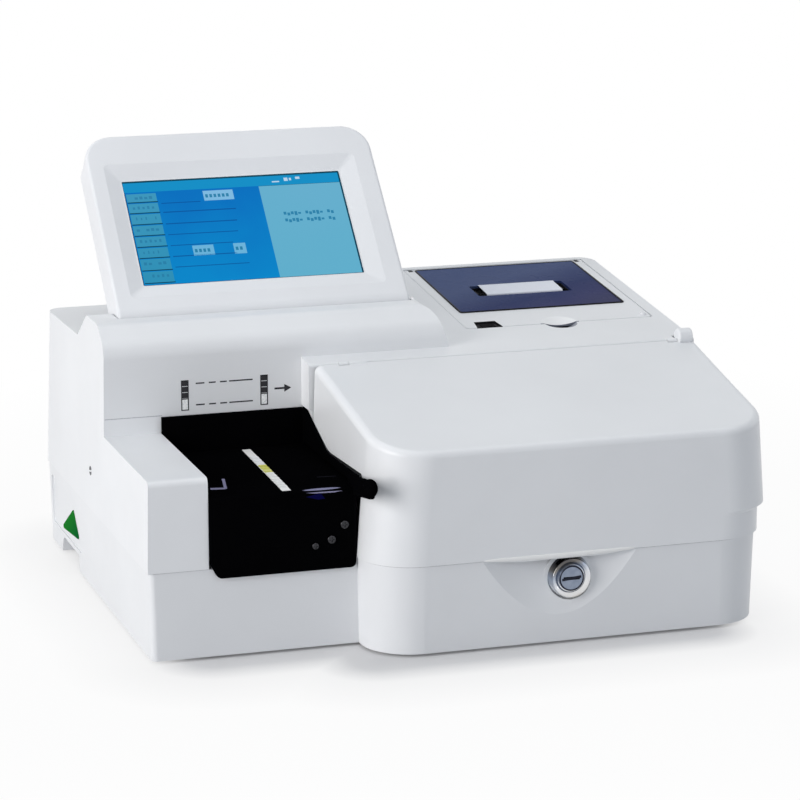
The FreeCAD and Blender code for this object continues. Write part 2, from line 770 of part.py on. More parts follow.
def pod_form(inset):
    half = pod_half - inset
    top = pod_reach - inset
    side = pod_width / 2 - inset
    profile = [
        (-half, -half, half - 0.02),
        (-half, half, half - 0.02),
        (top, half, 2.0),
        (top, -half, 6.0),
    ]
    bar = bar_x(profile, -side, side)
    corner = pod_corner - inset
    outline = plate([(-side, -half, 2.0), (side, -half, 2.0), (side, top, corner), (-side, top, corner)],
                    -pod_thickness, pod_thickness)
    return bar.common(outline)


def pod_screw_places():
    side = pod_width / 2 - 9.0
    return [(-side, 24.0), (side, 24.0), (-side + 2.5, pod_reach - 12.0), (side - 2.5, pod_reach - 12.0)]


def pod_outer():
    """Outer form with a soft rim all round."""
    side = pod_width / 2
    foot = pod_half - 0.02
    bar = bar_x([(-pod_half, -pod_half, foot), (-pod_half, pod_half, foot),
                 (pod_reach, pod_half, 0), (pod_reach, -pod_half, 0)], -side, side)
    outline = plate([(-side, -pod_thickness, 0), (side, -pod_thickness, 0),
                     (side, pod_reach, pod_corner), (-side, pod_reach, pod_corner)],
                    -pod_thickness, pod_thickness)

    def rim(edge):
        bounds = edge.BoundBox
        front = bounds.ZMin > pod_half - 0.01
        back = bounds.ZMax < -pod_half + 0.01
        foot_arc = bounds.XLength < 0.01 and bounds.YMax < 0.1
        along_foot = bounds.XLength > pod_width - 1 and bounds.YMax < 0.5
        return (front or back or foot_arc) and not along_foot
    return soften(bar.common(outline), pod_rim_radius, rim)


def make_display_bezel():
    upper = box(-pod_width, pod_width, -pod_length, pod_length, pod_split_w, pod_thickness)
    shell = pod_outer().common(upper)
    hollow = pod_form(pod_wall).common(box(-pod_width, pod_width, -pod_length, pod_length,
                                           pod_split_w - 1.0, pod_half - pod_wall))
    shell = shell.cut(hollow)
    ring = plate(rectangle(screen_x0 - bevel_left - 2.5, screen_x1 + bevel_right + 2.5,
                           screen_v0 - bevel_foot - 2.5, screen_v1 + bevel_head + 2.5, 4.0),
                 flange_w0, pod_half - 1.0)
    shell = shell.fuse(ring)
    outer = rectangle(screen_x0 - bevel_left, screen_x1 + bevel_right,
                      screen_v0 - bevel_foot, screen_v1 + bevel_head, 3.0)
    inner = rectangle(screen_x0 - 1.0, screen_x1 + 1.0, screen_v0 - 1.0, screen_v1 + 1.0, 1.5)
    shell = shell.cut(loft(inner, pod_half - bevel_depth, outer, pod_half + 0.001))
    window = plate(rectangle(screen_x0, screen_x1, screen_v0, screen_v1, 0.8), 0, pod_thickness)
    shell = shell.cut(window)
    for x, v in pod_screw_places():
        boss = rod_z(pod_split_w, pod_half - 1.0, x, v, 3.5)
        shell = shell.fuse(boss).cut(rod_z(0, pod_half - 3.0, x, v, 1.5))
    shell = shell.fuse(pin_bosses(pod_split_w, pod_half))
    shell = shell.cut(pin_bores())
    return on_pod(shell.removeSplitter())


def pin_bosses(w0, w1):
    """Solid blocks around the hinge pins at both ends of the pod, between two depths."""
    blocks = []
    for sign in (-1, 1):
        x0, x1 = sorted((sign * (pod_width / 2 - 0.5), sign * (pod_width / 2 - 12.0)))
        blocks.append(rod_x(x0, x1, 0, 0, pod_half - 0.5))
    slab = box(-pod_width, pod_width, -pod_thickness, pod_thickness, w0, w1)
    return joined([blocks[0].common(slab), blocks[1].common(slab)])


def pin_bores():
    left = rod_x(-pod_width / 2 - 1, -pod_width / 2 + 10.0, 0, 0, pod_pin_radius)
    right = rod_x(pod_width / 2 - 10.0, pod_width / 2 + 1, 0, 0, pod_pin_radius)
    return left.fuse(right)


def make_display_back_shell():
    lower = box(-pod_width, pod_width, -pod_length, pod_length, -pod_thickness, pod_split_w)
    shell = pod_outer().common(lower)
    hollow = pod_form(pod_wall).common(box(-pod_width, pod_width, -pod_length, pod_length,
                                           -pod_thickness, pod_split_w + 1.0))
    shell = shell.cut(hollow)
    for x, v in pod_screw_places():
        shell = shell.fuse(rod_z(-pod_half + 0.5, pod_split_w, x, v, 4.4))
        shell = shell.cut(rod_z(-pod_thickness, -pod_half + 2.4, x, v, 3.0))
        shell = shell.cut(rod_z(-pod_thickness, pod_thickness, x, v, 1.6))
    for x, v in board_standoffs():
        shell = shell.fuse(rod_z(-pod_half + 1.0, board_w, x, v, 3.0))
    shell = shell.fuse(pin_bosses(-pod_half, pod_split_w))
    shell = shell.cut(pin_bores())
    for row in range(9):
        v = 70.0 + row * 6.0
        shell = shell.cut(plate([(-32.0, v, 0.9), (32.0, v, 0.9), (32.0, v + 2.0, 0.9), (-32.0, v + 2.0, 0.9)],
                                -pod_thickness, -pod_half + pod_wall + 0.5))
    return on_pod(shell.removeSplitter())


board_w = -5.0
board_x0 = screen_x0 + 6.0
board_x1 = screen_x1 - 6.0
board_v0 = screen_v0 + 2.0
board_v1 = screen_v1 - 6.0


def board_standoffs():
    return [(board_x0 + 5, board_v0 + 5), (board_x1 - 5, board_v0 + 5),
            (board_x0 + 5, board_v1 - 5), (board_x1 - 5, board_v1 - 5)]


def make_display_board():
    board = box(board_x0, board_x1, board_v0, board_v1, board_w, board_w + 1.6)
    top = board_w + 1.6
    chips = [
        box(board_x0 + 20, board_x0 + 44, board_v0 + 30, board_v0 + 54, top, top + 2.0),
        box(board_x0 + 60, board_x0 + 74, board_v0 + 20, board_v0 + 36, top, top + 1.6),
        box(board_x0 + 90, board_x0 + 118, board_v0 + 4, board_v0 + 12, top, top + 3.0),
    ]
    return on_pod(joined([board] + chips))


def make_lcd_panel():
    body = plate(rectangle(screen_x0 - lcd_margin, screen_x1 + lcd_margin, screen_v0 - 7.0, screen_v1 + 7.0, 1.0),
                 flange_w0 - lcd_body_depth, flange_w0)
    glass = plate(rectangle(screen_x0 + 0.15, screen_x1 - 0.15, screen_v0 + 0.15, screen_v1 - 0.15, 0.7),
                  flange_w0 - 0.5, flange_w0 + 1.3)
    return on_pod(joined([body, glass]))


def make_display_hinge_pins():
    left = rod_x(ear_x0 - 1.5 - pod_x, -pod_width / 2 + 10.0, 0, 0, pod_pin_radius)
    right = rod_x(pod_width / 2 - 10.0, ear_x1 + 1.5 - pod_x, 0, 0, pod_pin_radius)
    return on_pod(Part.makeCompound([left, right]))


def make_pod_screws():
    screws = []
    for x, v in pod_screw_places():
        head = rod_z(-pod_half + 0.6, -pod_half + 2.4, x, v, 2.8)
        head = head.cut(cross_slot(x, v, -pod_half + 0.6, 0.8))
        screws.append(on_pod(head.fuse(rod_z(-pod_half + 2.4, pod_half - 4.0, x, v, 1.5))))
    return Part.makeCompound(screws)


def cross_slot(x, y, z, depth):
    """Cross recess of a screw head that faces down."""
    one = box(x - 1.7, x + 1.7, y - 0.35, y + 0.35, z - 1, z + depth)
    two = box(x - 0.35, x + 0.35, y - 1.7, y + 1.7, z - 1, z + depth)
    return one.fuse(two)


# ---------------------------------------------------------------- printer
frame_top_w = -door_thickness - 0.2
frame_plate = 3.0
ear_start = door_half - 6.0
platen_half = 29.0
latch_x0 = -door_half + 9.8
latch_x1 = latch_x0 + 15.0
latch_travel = 3.0


def door_ear(x0, x1):
    """Ear under the door that carries one end of the platen."""
    corners = [(platen_v - 5.4, frame_top_w + 1.0, 0), (platen_v - 5.4, platen_w - 4.9, 4.8),
               (platen_v + 5.4, platen_w - 4.9, 4.8), (platen_v + 5.4, frame_top_w + 1.0, 0)]
    return bar_x(corners, x0, x1)


def make_printer_door():
    corners = [(-door_half, 0, 3.0), (door_half, 0, 3.0), (door_half, door_hinge_v, 0), (-door_half, door_hinge_v, 0)]
    door = plate(corners, -door_thickness, 0)
    door = soften(door, 0.8, lambda e: e.BoundBox.ZMin > -0.01 and e.BoundBox.YMax < 1.0)
    door = door.fuse(rod_x(-door_half, door_half, door_hinge_v, door_hinge_w, -door_hinge_w))
    half = panel_width / 2
    door = door.cut(plate(rectangle(-half, half, panel_start, panel_start + panel_length, panel_corner),
                          -panel_thickness, 5))
    door = door.cut(slot_opening(-6.0, 5.0, 0))
    for sign in (-1, 1):
        x0, x1 = sorted((sign * 30.5, sign * 33.5))
        door = door.fuse(door_ear(x0, x1))
        e0, e1 = sorted((sign * (ear_start - 0.3), sign * (ear_start + 3.3)))
        door = door.cut(box(e0, e1, door_hinge_v - 3.4, door_hinge_v + 5.0, -10, 5))
    door = door.cut(rod_x(-40, 45, platen_v, platen_w, 2.5 + pin_gap))
    door = door.cut(rod_x(-door_half - 1, door_half + 1, door_hinge_v, door_hinge_w, 1.0 + pin_gap))
    notch = [(latch_x0 - 1.6, -1.0, 0), (latch_x1 + 1.6, -1.0, 0), (latch_x1, 12.6, 1.0), (latch_x0, 12.6, 1.0)]
    door = door.cut(plate(notch, -2.2, 5.0))
    thumb = Part.makeSphere(38.0, vec(0, 1.5, 36.0))
    door = door.cut(thumb)
    return on_printer(door.removeSplitter())


def slot_opening(w0, w1, grow):
    half = slot_width / 2 + grow
    return plate(rectangle(-half, half, slot_start - grow, slot_start + slot_length + grow, 1.5), w0, w1)


def make_door_panel():
    half = panel_width / 2 - 0.1
    sheet = plate(rectangle(-half, half, panel_start + 0.1, panel_start + panel_length - 0.1,
                            panel_corner - 0.1),
                  -panel_thickness, 0.1)
    return on_printer(sheet.cut(slot_opening(-6.0, 5.0, 0.6)))


def make_door_latch():
    inset = 0.5
    corners = [(latch_x0 + inset - 0.9, 0.4, 0), (latch_x1 - inset + 0.9, 0.4, 0),
               (latch_x1 - inset - 0.1, 12.3 - latch_travel, 0.8), (latch_x0 + inset + 0.1, 12.3 - latch_travel, 0.8)]
    block = plate(corners, -2.2, -0.8)
    for step in range(3):
        v = 2.4 + 2.2 * step
        block = block.fuse(box(latch_x0 + 2.5, latch_x1 - 2.5, v, v + 0.9, -1.0, -0.3))
    return on_printer(block.removeSplitter())


def make_door_lamp():
    dome = Part.makeSphere(3.0, vec(door_half - 5.2, 4.8, -1.2))
    dome = dome.common(box(0, door_half, -5, 12, 0, 5))
    return on_printer(dome)


def make_door_hinge_pin():
    return on_printer(rod_x(-ear_start - 3.0, ear_start + 3.0, door_hinge_v, door_hinge_w, 1.0))


def make_platen_roller():
    roller = rod_x(-platen_half, platen_half, platen_v, platen_w, platen_radius)
    roller = roller.fuse(rod_x(-35.0, 38.0, platen_v, platen_w, 2.5))
    gear = rod_x(34.2, 37.4, platen_v, platen_w, 5.4)
    for tooth in range(16):
        turn = 2 * math.pi * tooth / 16
        groove = rod_x(34, 38, platen_v + 5.5 * math.cos(turn), platen_w + 5.5 * math.sin(turn), 0.55)
        gear = gear.cut(groove)
    return on_printer(roller.fuse(gear).removeSplitter())


def make_thermal_head():
    head = box(-31.0, 31.0, head_v, head_v + 6.5, -17.0, -6.5)
    legs = [box(x, x + 1.8, head_v, head_v + 6.5, -24.0, -16.5) for x in (-31.0, 29.2)]
    blade = box(-30.0, 30.0, head_v + 2.0, head_v + 3.0, -6.6, -5.4)
    return on_printer(joined([head, blade] + legs))


def roll_space(radius, half, up_to):
    """Cradle shape: round bottom around the paper roll, straight sides above it."""
    low = rod_x(-half, half, roll_v, roll_w, radius)
    above = box(-half, half, roll_v - radius, roll_v + radius, roll_w, up_to)
    return low.fuse(above)


def make_printer_frame():
    reach = door_half + 3.5
    frame = plate([(-reach, -5.0, 2.0), (reach, -5.0, 2.0), (reach, door_length + 2.2, 8.0),
                   (-reach, door_length + 2.2, 2.0)], frame_top_w - frame_plate, frame_top_w)
    well = box(-42.0, 42.0, platen_v - 14.5, platen_v + 25.5, -26.0, frame_top_w - 1.0)
    cradle = roll_space(roll_radius + 2.3, 32.0, frame_top_w - 1.0)
    frame = joined([frame, well, cradle])
    frame = frame.cut(box(-40.0, 40.0, platen_v - 12.5, platen_v + 19.5, -24.0, 10.0))
    frame = frame.cut(roll_space(roll_radius + 0.3, paper_width / 2 + 1.5, 10.0))
    frame = frame.cut(box(-paper_width / 2 - 1.5, paper_width / 2 + 1.5, platen_v + 15.5,
                          platen_v + 35.5, -24.0, 10.0))
    channel = box(-reach - 1, reach + 1, door_hinge_v - 3.2, door_length + 5.0, door_hinge_w - 2.6, 10)
    frame = frame.cut(channel)
    for sign in (-1, 1):
        e0, e1 = sorted((sign * ear_start, sign * (ear_start + 3.0)))
        ear = box(e0, e1, door_hinge_v - 2.4, door_hinge_v + 2.0, frame_top_w - frame_plate, -0.4)
        frame = frame.fuse(ear)
    frame = frame.cut(rod_x(-reach, reach, door_hinge_v, door_hinge_w, 1.0))
    frame = frame.cut(dimple_ball(dimple_wall + seam_gap))
    return on_printer(frame.removeSplitter())


def make_paper_roll():
    half = paper_width / 2
    roll = rod_x(-half, half, roll_v, roll_w, roll_radius)
    return on_printer(roll.cut(rod_x(-half - 1, half + 1, roll_v, roll_w, roll_core_radius)))


def make_roll_core():
    half = paper_width / 2
    core = rod_x(-half, half, roll_v, roll_w, roll_core_radius)
    return on_printer(core.cut(rod_x(-half - 1, half + 1, roll_v, roll_w, roll_core_radius - 1.5)))


def ribbon(path, thickness):
    """Closed outline of a thin strip on the left of a path of corners (a, b, radius)."""
    left_side = []
    for index, (a, b, radius) in enumerate(path):
        before = path[max(index - 1, 0)]
        after = path[min(index + 1, len(path) - 1)]
        leaving = vec(after[0] - a, after[1] - b, 0)
        coming = vec(a - before[0], b - before[1], 0)
        coming = coming if coming.Length else leaving
        leaving = (leaving if leaving.Length else coming).normalize()
        coming = coming.normalize()
        normals = vec(-coming.y - leaving.y, coming.x + leaving.x, 0)
        step = normals * (thickness / (1 + coming.dot(leaving)))
        turn = coming.x * leaving.y - coming.y * leaving.x
        inner = radius - thickness if turn > 0 else radius + thickness
        left_side.append((a + step.x, b + step.y, inner if radius else 0))
    return list(path) + left_side[::-1]


def make_paper_tail():
    """Printed end: under the head, up between head and platen, then flat along the slot."""
    nip = head_v - 0.45
    slot_end = slot_start + slot_length
    path = [(slot_end - 0.5, 1.0, 0), (nip + 2.2, 0.5, 1.0), (nip + 1.4, -2.2, 2.0), (nip, -4.8, 2.0),
            (nip, -19.4, 2.0), (head_v + 7.5, -20.4, 4.0), (roll_v - roll_radius - 1.5, roll_w + 8.0, 0)]
    half = paper_width / 2
    return on_printer(bar_x(ribbon(path, 0.25), -half, half))


# ---------------------------------------------------------------- strip tray
guard_left_x = guard_right_x - guard_thickness
tray_left_x = bay_left_x + 0.4
tray_front_y = bay_front_y + 0.3
tray_back_y = face_y - 0.3
guard_foot_z = 100.4
rail_top_z = deck_z - deck_thickness - 0.2
strip_x = bay_left_x + 54.0
strip_skew = 1.7


def make_strip_tray():
    deck = plate([(tray_left_x, tray_front_y, 0), (guard_left_x, tray_front_y, 0),
                  (guard_left_x, tray_back_y, 0), (tray_left_x, tray_back_y, 0)],
                 deck_z - deck_thickness, deck_z)
    back = bar_x([(tray_back_y - 4.3, deck_z - deck_thickness, 0), (tray_back_y, deck_z - deck_thickness, 0),
                  (tray_back_y, tray_back_z, 0.8), (tray_back_y - 2.4, tray_back_z, 0.8)],
                 tray_left_x, guard_left_x)
    front_web = plate([(tray_left_x + 3.0, tray_front_y, 0), (guard_left_x - 3.0, tray_front_y, 0),
                       (guard_left_x - 3.0, tray_front_y + 2.4, 0), (tray_left_x + 3.0, tray_front_y + 2.4, 0)],
                      bay_mouth_foot_z + 2.0, deck_z - 1.0)
    rim = bar_y([(tray_left_x, deck_z - 1.0, 0), (tray_left_x, deck_z + 3.2, 0.8),
                 (tray_left_x + 2.0, deck_z + 3.2, 0.8), (tray_left_x + 3.4, deck_z - 1.0, 0)],
                tray_front_y + 6.0, tray_back_y - 1.0)
    runners = [box(x, x + 3.0, tray_front_y + 4.0, tray_back_y - 1.0, deck_z - deck_thickness - 5.0, deck_z - 1.0)
               for x in (rail_places()[0] + 4.4, rail_places()[1] - 3.4)]
    tray = joined([deck, back, front_web, rim] + runners)
    for x, z, radius in apron_screw_places():
        tray = tray.cut(rod_y(tray_front_y - 1, tray_front_y + 3.0, x, z, radius * 0.55))
    return tray


def rail_places():
    return [tray_left_x + 8.0, guard_left_x - 12.0]


def apron_screw_places():
    """Position and head radius of the screws that hold the apron."""
    return [
        (bay_right_x - 8.35, 82.0, 2.7),
        (bay_right_x - 16.95, 72.9, 2.7),
        (bay_right_x - 27.6, 69.4, 2.2),
    ]


def make_tray_apron():
    x0, x1 = tray_left_x + 0.1, guard_left_x - 0.1
    corners = [(x0, deck_z, 1.5), (x1, deck_z, 1.5), (x1, apron_foot_z, 3.5),
               (x0 + 5.0, apron_foot_z, 5.0), (x0, apron_foot_z + 10.0, 3.0)]
    apron = bar_y(corners, tray_front_y - apron_thickness, tray_front_y)
    for x, z, radius in apron_screw_places():
        apron = apron.cut(rod_y(tray_front_y - 5, tray_front_y + 5, x, z, radius * 0.55))
    return apron


def make_tray_screws():
    screws = []
    for x, z, radius in apron_screw_places():
        head_y = tray_front_y - apron_thickness
        head = rod_y(head_y - 1.6, head_y, x, z, radius)
        head = soften(head, 0.6, lambda e: e.BoundBox.YMax < head_y - 1.0)
        shank = rod_y(head_y, tray_front_y + 2.2, x, z, radius * 0.55)
        slots = box(x - 0.4, x + 0.4, head_y - 3, head_y - 0.8, z - 1.6, z + 1.6)
        slots = slots.fuse(box(x - 1.6, x + 1.6, head_y - 3, head_y - 0.8, z - 0.4, z + 0.4))
        screws.append(head.fuse(shank).cut(slots))
    return Part.makeCompound(screws)


def make_tray_guard():
    """Side guard with its strip slit; its pull tab is set over, out of the flip cover's way."""
    y0 = bay_front_y
    tab_y = y0 - tab_length
    corners = [
        (tray_back_y, guard_foot_z, 0),
        (tray_back_y, tray_back_z, 0.8),
        (y0 + 117.0, tray_back_z - 0.3, 2.0),
        (y0 + 70.0, 110.5, 45.0),
        (y0 + 2.0, 112.4, 30.0),
        (tab_y + 0.3, 119.4, 5.6),
        (tab_y + 1.8, 107.6, 5.6),
        (y0 + 0.5, guard_foot_z, 6.0),
    ]
    guard = bar_x(corners, guard_left_x, guard_right_x)
    guard = guard.cut(box(guard_left_x - 1, guard_right_x + 1, tab_y - 5, y0 - 0.5, 0, 200))
    slit = box(guard_left_x - 1, guard_right_x + 1, y0 + 3.0, tray_back_y - 6.0,
               deck_z, deck_z + strip_passage)
    tab = bar_x(corners, guard_left_x - guard_thickness, guard_left_x)
    tab = tab.cut(box(tray_left_x, guard_left_x + 1, y0 + 8.0, tray_back_y + 5, 0, 200))
    tab = tab.cut(box(tray_left_x, guard_left_x + 1, tray_front_y - apron_thickness - 0.3, tray_back_y, 0,
                      deck_z + 0.4))
    return guard.cut(slit).fuse(tab).removeSplitter()


def make_tray_rails():
    """Carrier under the tray: plate on the lower housing's rim, two rails, four legs."""
    x0, x1 = tray_left_x + 1.5, guard_left_x - 1.5
    y0, y1 = tray_front_y + 3.2, face_y - 1.0
    base = box(x0, x1, y0 - 1.9, y1, part_line_z, part_line_z + 2.2)
    rails = [box(x, x + 4.0, y0 + 1.0, y1 - 1.0, part_line_z + 2.0, rail_top_z) for x in rail_places()]
    legs = [rod_z(chassis_z + chassis_thickness, part_line_z + 1.0, x, y, 4.0)
            for x in (x0 + 12.0, x1 - 12.0) for y in (y0 + 34.0, y1 - 12.0)]
    webs = [box(x - 1.0, x + 5.0, y, y + 2.0, part_line_z + 2.0, rail_top_z - 8.0)
            for x in rail_places() for y in (y0 + 20.0, y0 + 60.0, y0 + 96.0)]
    return joined([base] + rails + legs + webs)


def make_test_strip():
    half = strip_width / 2
    strip = box(-half, half, -strip_length / 2, strip_length / 2, deck_z, deck_z + strip_thickness * 0.5)
    return on_strip(strip)


def make_reagent_pads():
    pads = []
    for place in range(12):
        v = -strip_length / 2 + 7.0 + 6.9 * place
        pads.append(box(-strip_width / 2 + 0.2, strip_width / 2 - 0.2, v, v + 5.0,
                        deck_z + strip_thickness * 0.5, deck_z + strip_thickness * 1.4))
    return on_strip(Part.makeCompound(pads))


def on_strip(shape):
    moved = shape.copy()
    middle_y = bay_front_y + 60.0
    moved.Placement = Placement(vec(strip_x, middle_y, 0), Rotation(vec(0, 0, 1), -strip_skew))
    return moved


# ---------------------------------------------------------------- inner deck and reading head
tub_top_z = deck_z - 0.4
tub_wall = 2.5
tub_x0 = bay_right_x + 11.4
tub_x1 = right_x - 11.8
tub_y0 = front_y + 8.5
tub_y1 = cover_rear_y
notch_x0 = lock_x - 27.0
notch_x1 = lock_x + 17.0
notch_y = front_y + 34.0
bin_x0 = lock_x + 21.5
bin_x1 = tub_x1 - 8.0
bin_y0 = front_y + 21.5
bin_y1 = cover_rear_y - 14.0
bin_foot_z = 30.0
rod_z_height = 118.0
rod_radius = 3.0
rod_x_left = bay_right_x + 35.4
rod_x_right = rod_x_left + 30.0
head_y = bay_front_y + 40.0
head_length = 40.0
bracket_thickness = 4.0
rod_front_y = front_y + 18.5
rod_back_y = cover_rear_y - 8.0
pulley_x = rod_x_right + 22.0
pulley_radius = 8.0
drive_y = cover_rear_y - 16.0
idler_y = front_y + 28.5
belt_thickness = 1.2
belt_z0 = 110.0
belt_z1 = 116.0
motor_radius = 13.0
carrier_x0 = bay_right_x + 15.4
carrier_width = 6.0
carrier_y0 = bay_front_y
carrier_y1 = bay_front_y + 80.0
carrier_slots_y = (bay_front_y + 12.0, bay_front_y + 68.0)
carrier_travel = 120.0
rail_z = 90.0
rail_radius = 3.0


def tub_outline(inset):
    corner = 26.5 - inset
    grown = inset
    return [
        (tub_x0 + inset, tub_y0 + inset, corner),
        (notch_x0 - grown, tub_y0 + inset, 0),
        (notch_x0 - grown, notch_y + grown, 0),
        (notch_x1 + grown, notch_y + grown, 0),
        (notch_x1 + grown, tub_y0 + inset, 0),
        (tub_x1 - inset, tub_y0 + inset, corner),
        (tub_x1 - inset, tub_y1 - inset, 0),
        (tub_x0 + inset, tub_y1 - inset, 0),
    ]


def make_inner_deck():
    outer = plate(tub_outline(0), part_line_z, tub_top_z)
    inner = plate(tub_outline(tub_wall), part_line_z - 1, tub_top_z - tub_wall)
    deck = outer.cut(inner)
    rim_corner = corner_radius - 3.3
    rim_x0, rim_x1 = bay_right_x + 3.5, right_x - cover_ledge - 3.4
    rim = plate([(rim_x0, front_y + 3.3, rim_corner), (rim_x1, front_y + 3.3, rim_corner),
                 (rim_x1, tub_y1, 0), (rim_x0, tub_y1, 0)], part_line_z, part_line_z + 2.0)
    rim = rim.cut(plate(tub_outline(tub_wall), part_line_z - 1, part_line_z + 3))
    rim = rim.cut(box(notch_x0, notch_x1, front_y, notch_y, part_line_z - 1, part_line_z + 3))
    bridge = box(guard_right_x + 0.5, tub_x0 + 1.0, bay_front_y + 6.0, cover_rear_y - 6.0,
                 tub_top_z - 2.0, tub_top_z)
    deck = joined([deck, rim, bridge])
    deck = deck.cut(box(bin_x0 - 0.5, bin_x1 + 0.5, bin_y0 - 0.5, bin_y1 + 0.5, part_line_z - 1, tub_top_z + 1))
    for y in carrier_slots_y:
        deck = deck.cut(box(carrier_x0 - 1.5, carrier_x0 + carrier_width + carrier_travel + 1.5,
                            y - 2.8, y + 2.8, tub_top_z - 4, tub_top_z + 1))
    deck = deck.cut(rod_z(tub_top_z - 4, tub_top_z + 1, pulley_x, drive_y, 4.0))
    deck = deck.fuse(rail_hanger(rail_ends()[1]))
    deck = deck.cut(rod_x(rail_ends()[0], tub_x0 + 6.0, head_y, rail_z, rail_radius))
    for y in rod_bracket_places():
        for x in (rod_x_left + 8.0, rod_x_right - 8.0):
            deck = deck.cut(rod_z(tub_top_z - 4, tub_top_z + 1, x, y + bracket_thickness / 2, 1.3))
    for x in (tub_x0 + 30.0, tub_x1 - 30.0):
        deck = deck.cut(rod_z(part_line_z - 1, part_line_z + 3, x, tub_y0 - 2.5, 1.5))
    return deck.removeSplitter()


def rail_ends():
    return (tub_x0 + 0.5, bin_x0 - 8.0)


def rail_hanger(x):
    y = head_y
    block = box(x, x + 4.0, y - 6.0, y + 6.0, rail_z - 5.0, tub_top_z - 1.0)
    return block.cut(rod_x(x - 1, x + 5, y, rail_z, rail_radius))


def make_carrier_rail():
    first, last = rail_ends()
    return rod_x(first, last + 4.0, head_y, rail_z, rail_radius)


def make_strip_carrier():
    x1 = carrier_x0 + carrier_width
    bar = box(carrier_x0, x1, carrier_y0, carrier_y1, tub_top_z + 0.3, tub_top_z + 2.6)
    fingers = [box(carrier_x0 + 1.0, x1 - 1.0, y - 2.0, y + 2.0, rail_z - 2.0, tub_top_z + 1.0)
               for y in carrier_slots_y]
    beam = box(carrier_x0, x1, carrier_slots_y[0] - 2.0, carrier_slots_y[1] + 2.0, rail_z - 5.0, rail_z + 5.0)
    sleeve = box(carrier_x0, x1 + 4.0, head_y - 6.0, head_y + 6.0, rail_z - 5.5, rail_z + 5.5)
    teeth = [box(carrier_x0 + 1.5, x1 - 1.5, y, y + 3.0, tub_top_z + 2.0, tub_top_z + 3.4)
             for y in (carrier_y0 + 4.0, carrier_y0 + 36.0, carrier_y1 - 7.0)]
    carrier = joined([bar, beam, sleeve] + fingers + teeth)
    return carrier.cut(rod_x(carrier_x0 - 1, x1 + 5, head_y, rail_z, rail_radius + pin_gap))


def rod_bracket_places():
    return (rod_front_y - 2.0, rod_back_y - bracket_thickness + 2.0)


def make_guide_rods():
    return Part.makeCompound([rod_y(rod_front_y, rod_back_y, x, rod_z_height, rod_radius)
                              for x in (rod_x_left, rod_x_right)])


def make_rod_brackets():
    brackets = []
    for y in rod_bracket_places():
        corners = [(rod_x_left - 8.0, tub_top_z, 0), (rod_x_right + 8.0, tub_top_z, 0),
                   (rod_x_right + 7.0, rod_z_height + 6.5, 5.0), (rod_x_left - 7.0, rod_z_height + 6.5, 5.0)]
        upright_plate = bar_y(corners, y, y + bracket_thickness)
        for x in (rod_x_left, rod_x_right):
            upright_plate = upright_plate.cut(rod_y(y - 1, y + 5, x, rod_z_height, rod_radius))
        window = bar_y(rectangle(rod_x_left + 7.0, rod_x_right - 7.0, tub_top_z + 5.0, rod_z_height + 1.0, 2.0),
                       y - 1, y + bracket_thickness + 1)
        upright_plate = upright_plate.cut(window)
        for x in (rod_x_left + 8.0, rod_x_right - 8.0):
            peg = rod_z(tub_top_z - 2.0, tub_top_z + 1.0, x, y + bracket_thickness / 2, 1.3)
            upright_plate = upright_plate.fuse(peg)
        brackets.append(upright_plate)
    return Part.makeCompound(brackets)


def make_optical_head():
    x0, x1 = rod_x_left - 8.0, rod_x_right + 8.0
    y0, y1 = head_y - head_length / 2, head_y + head_length / 2
    corners = [(x0, 109.0, 1.0), (x1, 109.0, 1.0), (x1, 127.0, 3.0), (x1 - 8.0, 130.0, 3.0),
               (x0 + 8.0, 130.0, 3.0), (x0, 127.0, 3.0)]
    head = bar_y(corners, y0, y1)
    for x in (rod_x_left, rod_x_right):
        head = head.cut(rod_y(y0 - 1, y1 + 1, x, rod_z_height, rod_radius + pin_gap))
    strand_x = pulley_x - pulley_radius - belt_thickness
    arm = box(x1 - 1.0, strand_x - 0.25, head_y - 6.0, head_y + 6.0, belt_z0 - 0.5, belt_z1 + 0.5)
    head = head.fuse(arm)
    middle = (rod_x_left + rod_x_right) / 2
    return head.cut(rod_z(100, 112.0, middle, head_y, 8.0))


def make_head_lens():
    middle = (rod_x_left + rod_x_right) / 2
    lens = Part.makeSphere(16.0, vec(middle, head_y, 108.2 + 16.0))
    lens = lens.common(rod_z(100, 111.0, middle, head_y, 7.9))
    return lens.fuse(rod_z(110.5, 112.0, middle, head_y, 7.9)).removeSplitter()


def make_scan_belt():
    def track(radius):
        return plate([(pulley_x - radius, idler_y - radius, radius - 0.01),
                      (pulley_x + radius, idler_y - radius, radius - 0.01),
                      (pulley_x + radius, drive_y + radius, radius - 0.01),
                      (pulley_x - radius, drive_y + radius, radius - 0.01)], belt_z0, belt_z1)
    return track(pulley_radius + belt_thickness).cut(track(pulley_radius + 0.06))


def pulley(y, low_z):
    wheel = rod_z(belt_z0 - 0.4, belt_z1 + 0.4, pulley_x, y, pulley_radius)
    flange_low = rod_z(belt_z0 - 1.4, belt_z0 - 0.4, pulley_x, y, pulley_radius + 1.6)
    flange_high = rod_z(belt_z1 + 0.4, belt_z1 + 1.4, pulley_x, y, pulley_radius + 1.6)
    wheel = joined([wheel, flange_low, flange_high])
    for tooth in range(20):
        turn = 2 * math.pi * tooth / 20
        groove = rod_z(belt_z0 - 0.3, belt_z1 + 0.3, pulley_x + pulley_radius * math.cos(turn),
                       y + pulley_radius * math.sin(turn), 0.6)
        wheel = wheel.cut(groove)
    return wheel


def make_drive_pulley():
    wheel = pulley(drive_y, tub_top_z)
    shaft = rod_z(96.0, belt_z1 + 3.0, pulley_x, drive_y, 2.5)
    return wheel.fuse(shaft).removeSplitter()


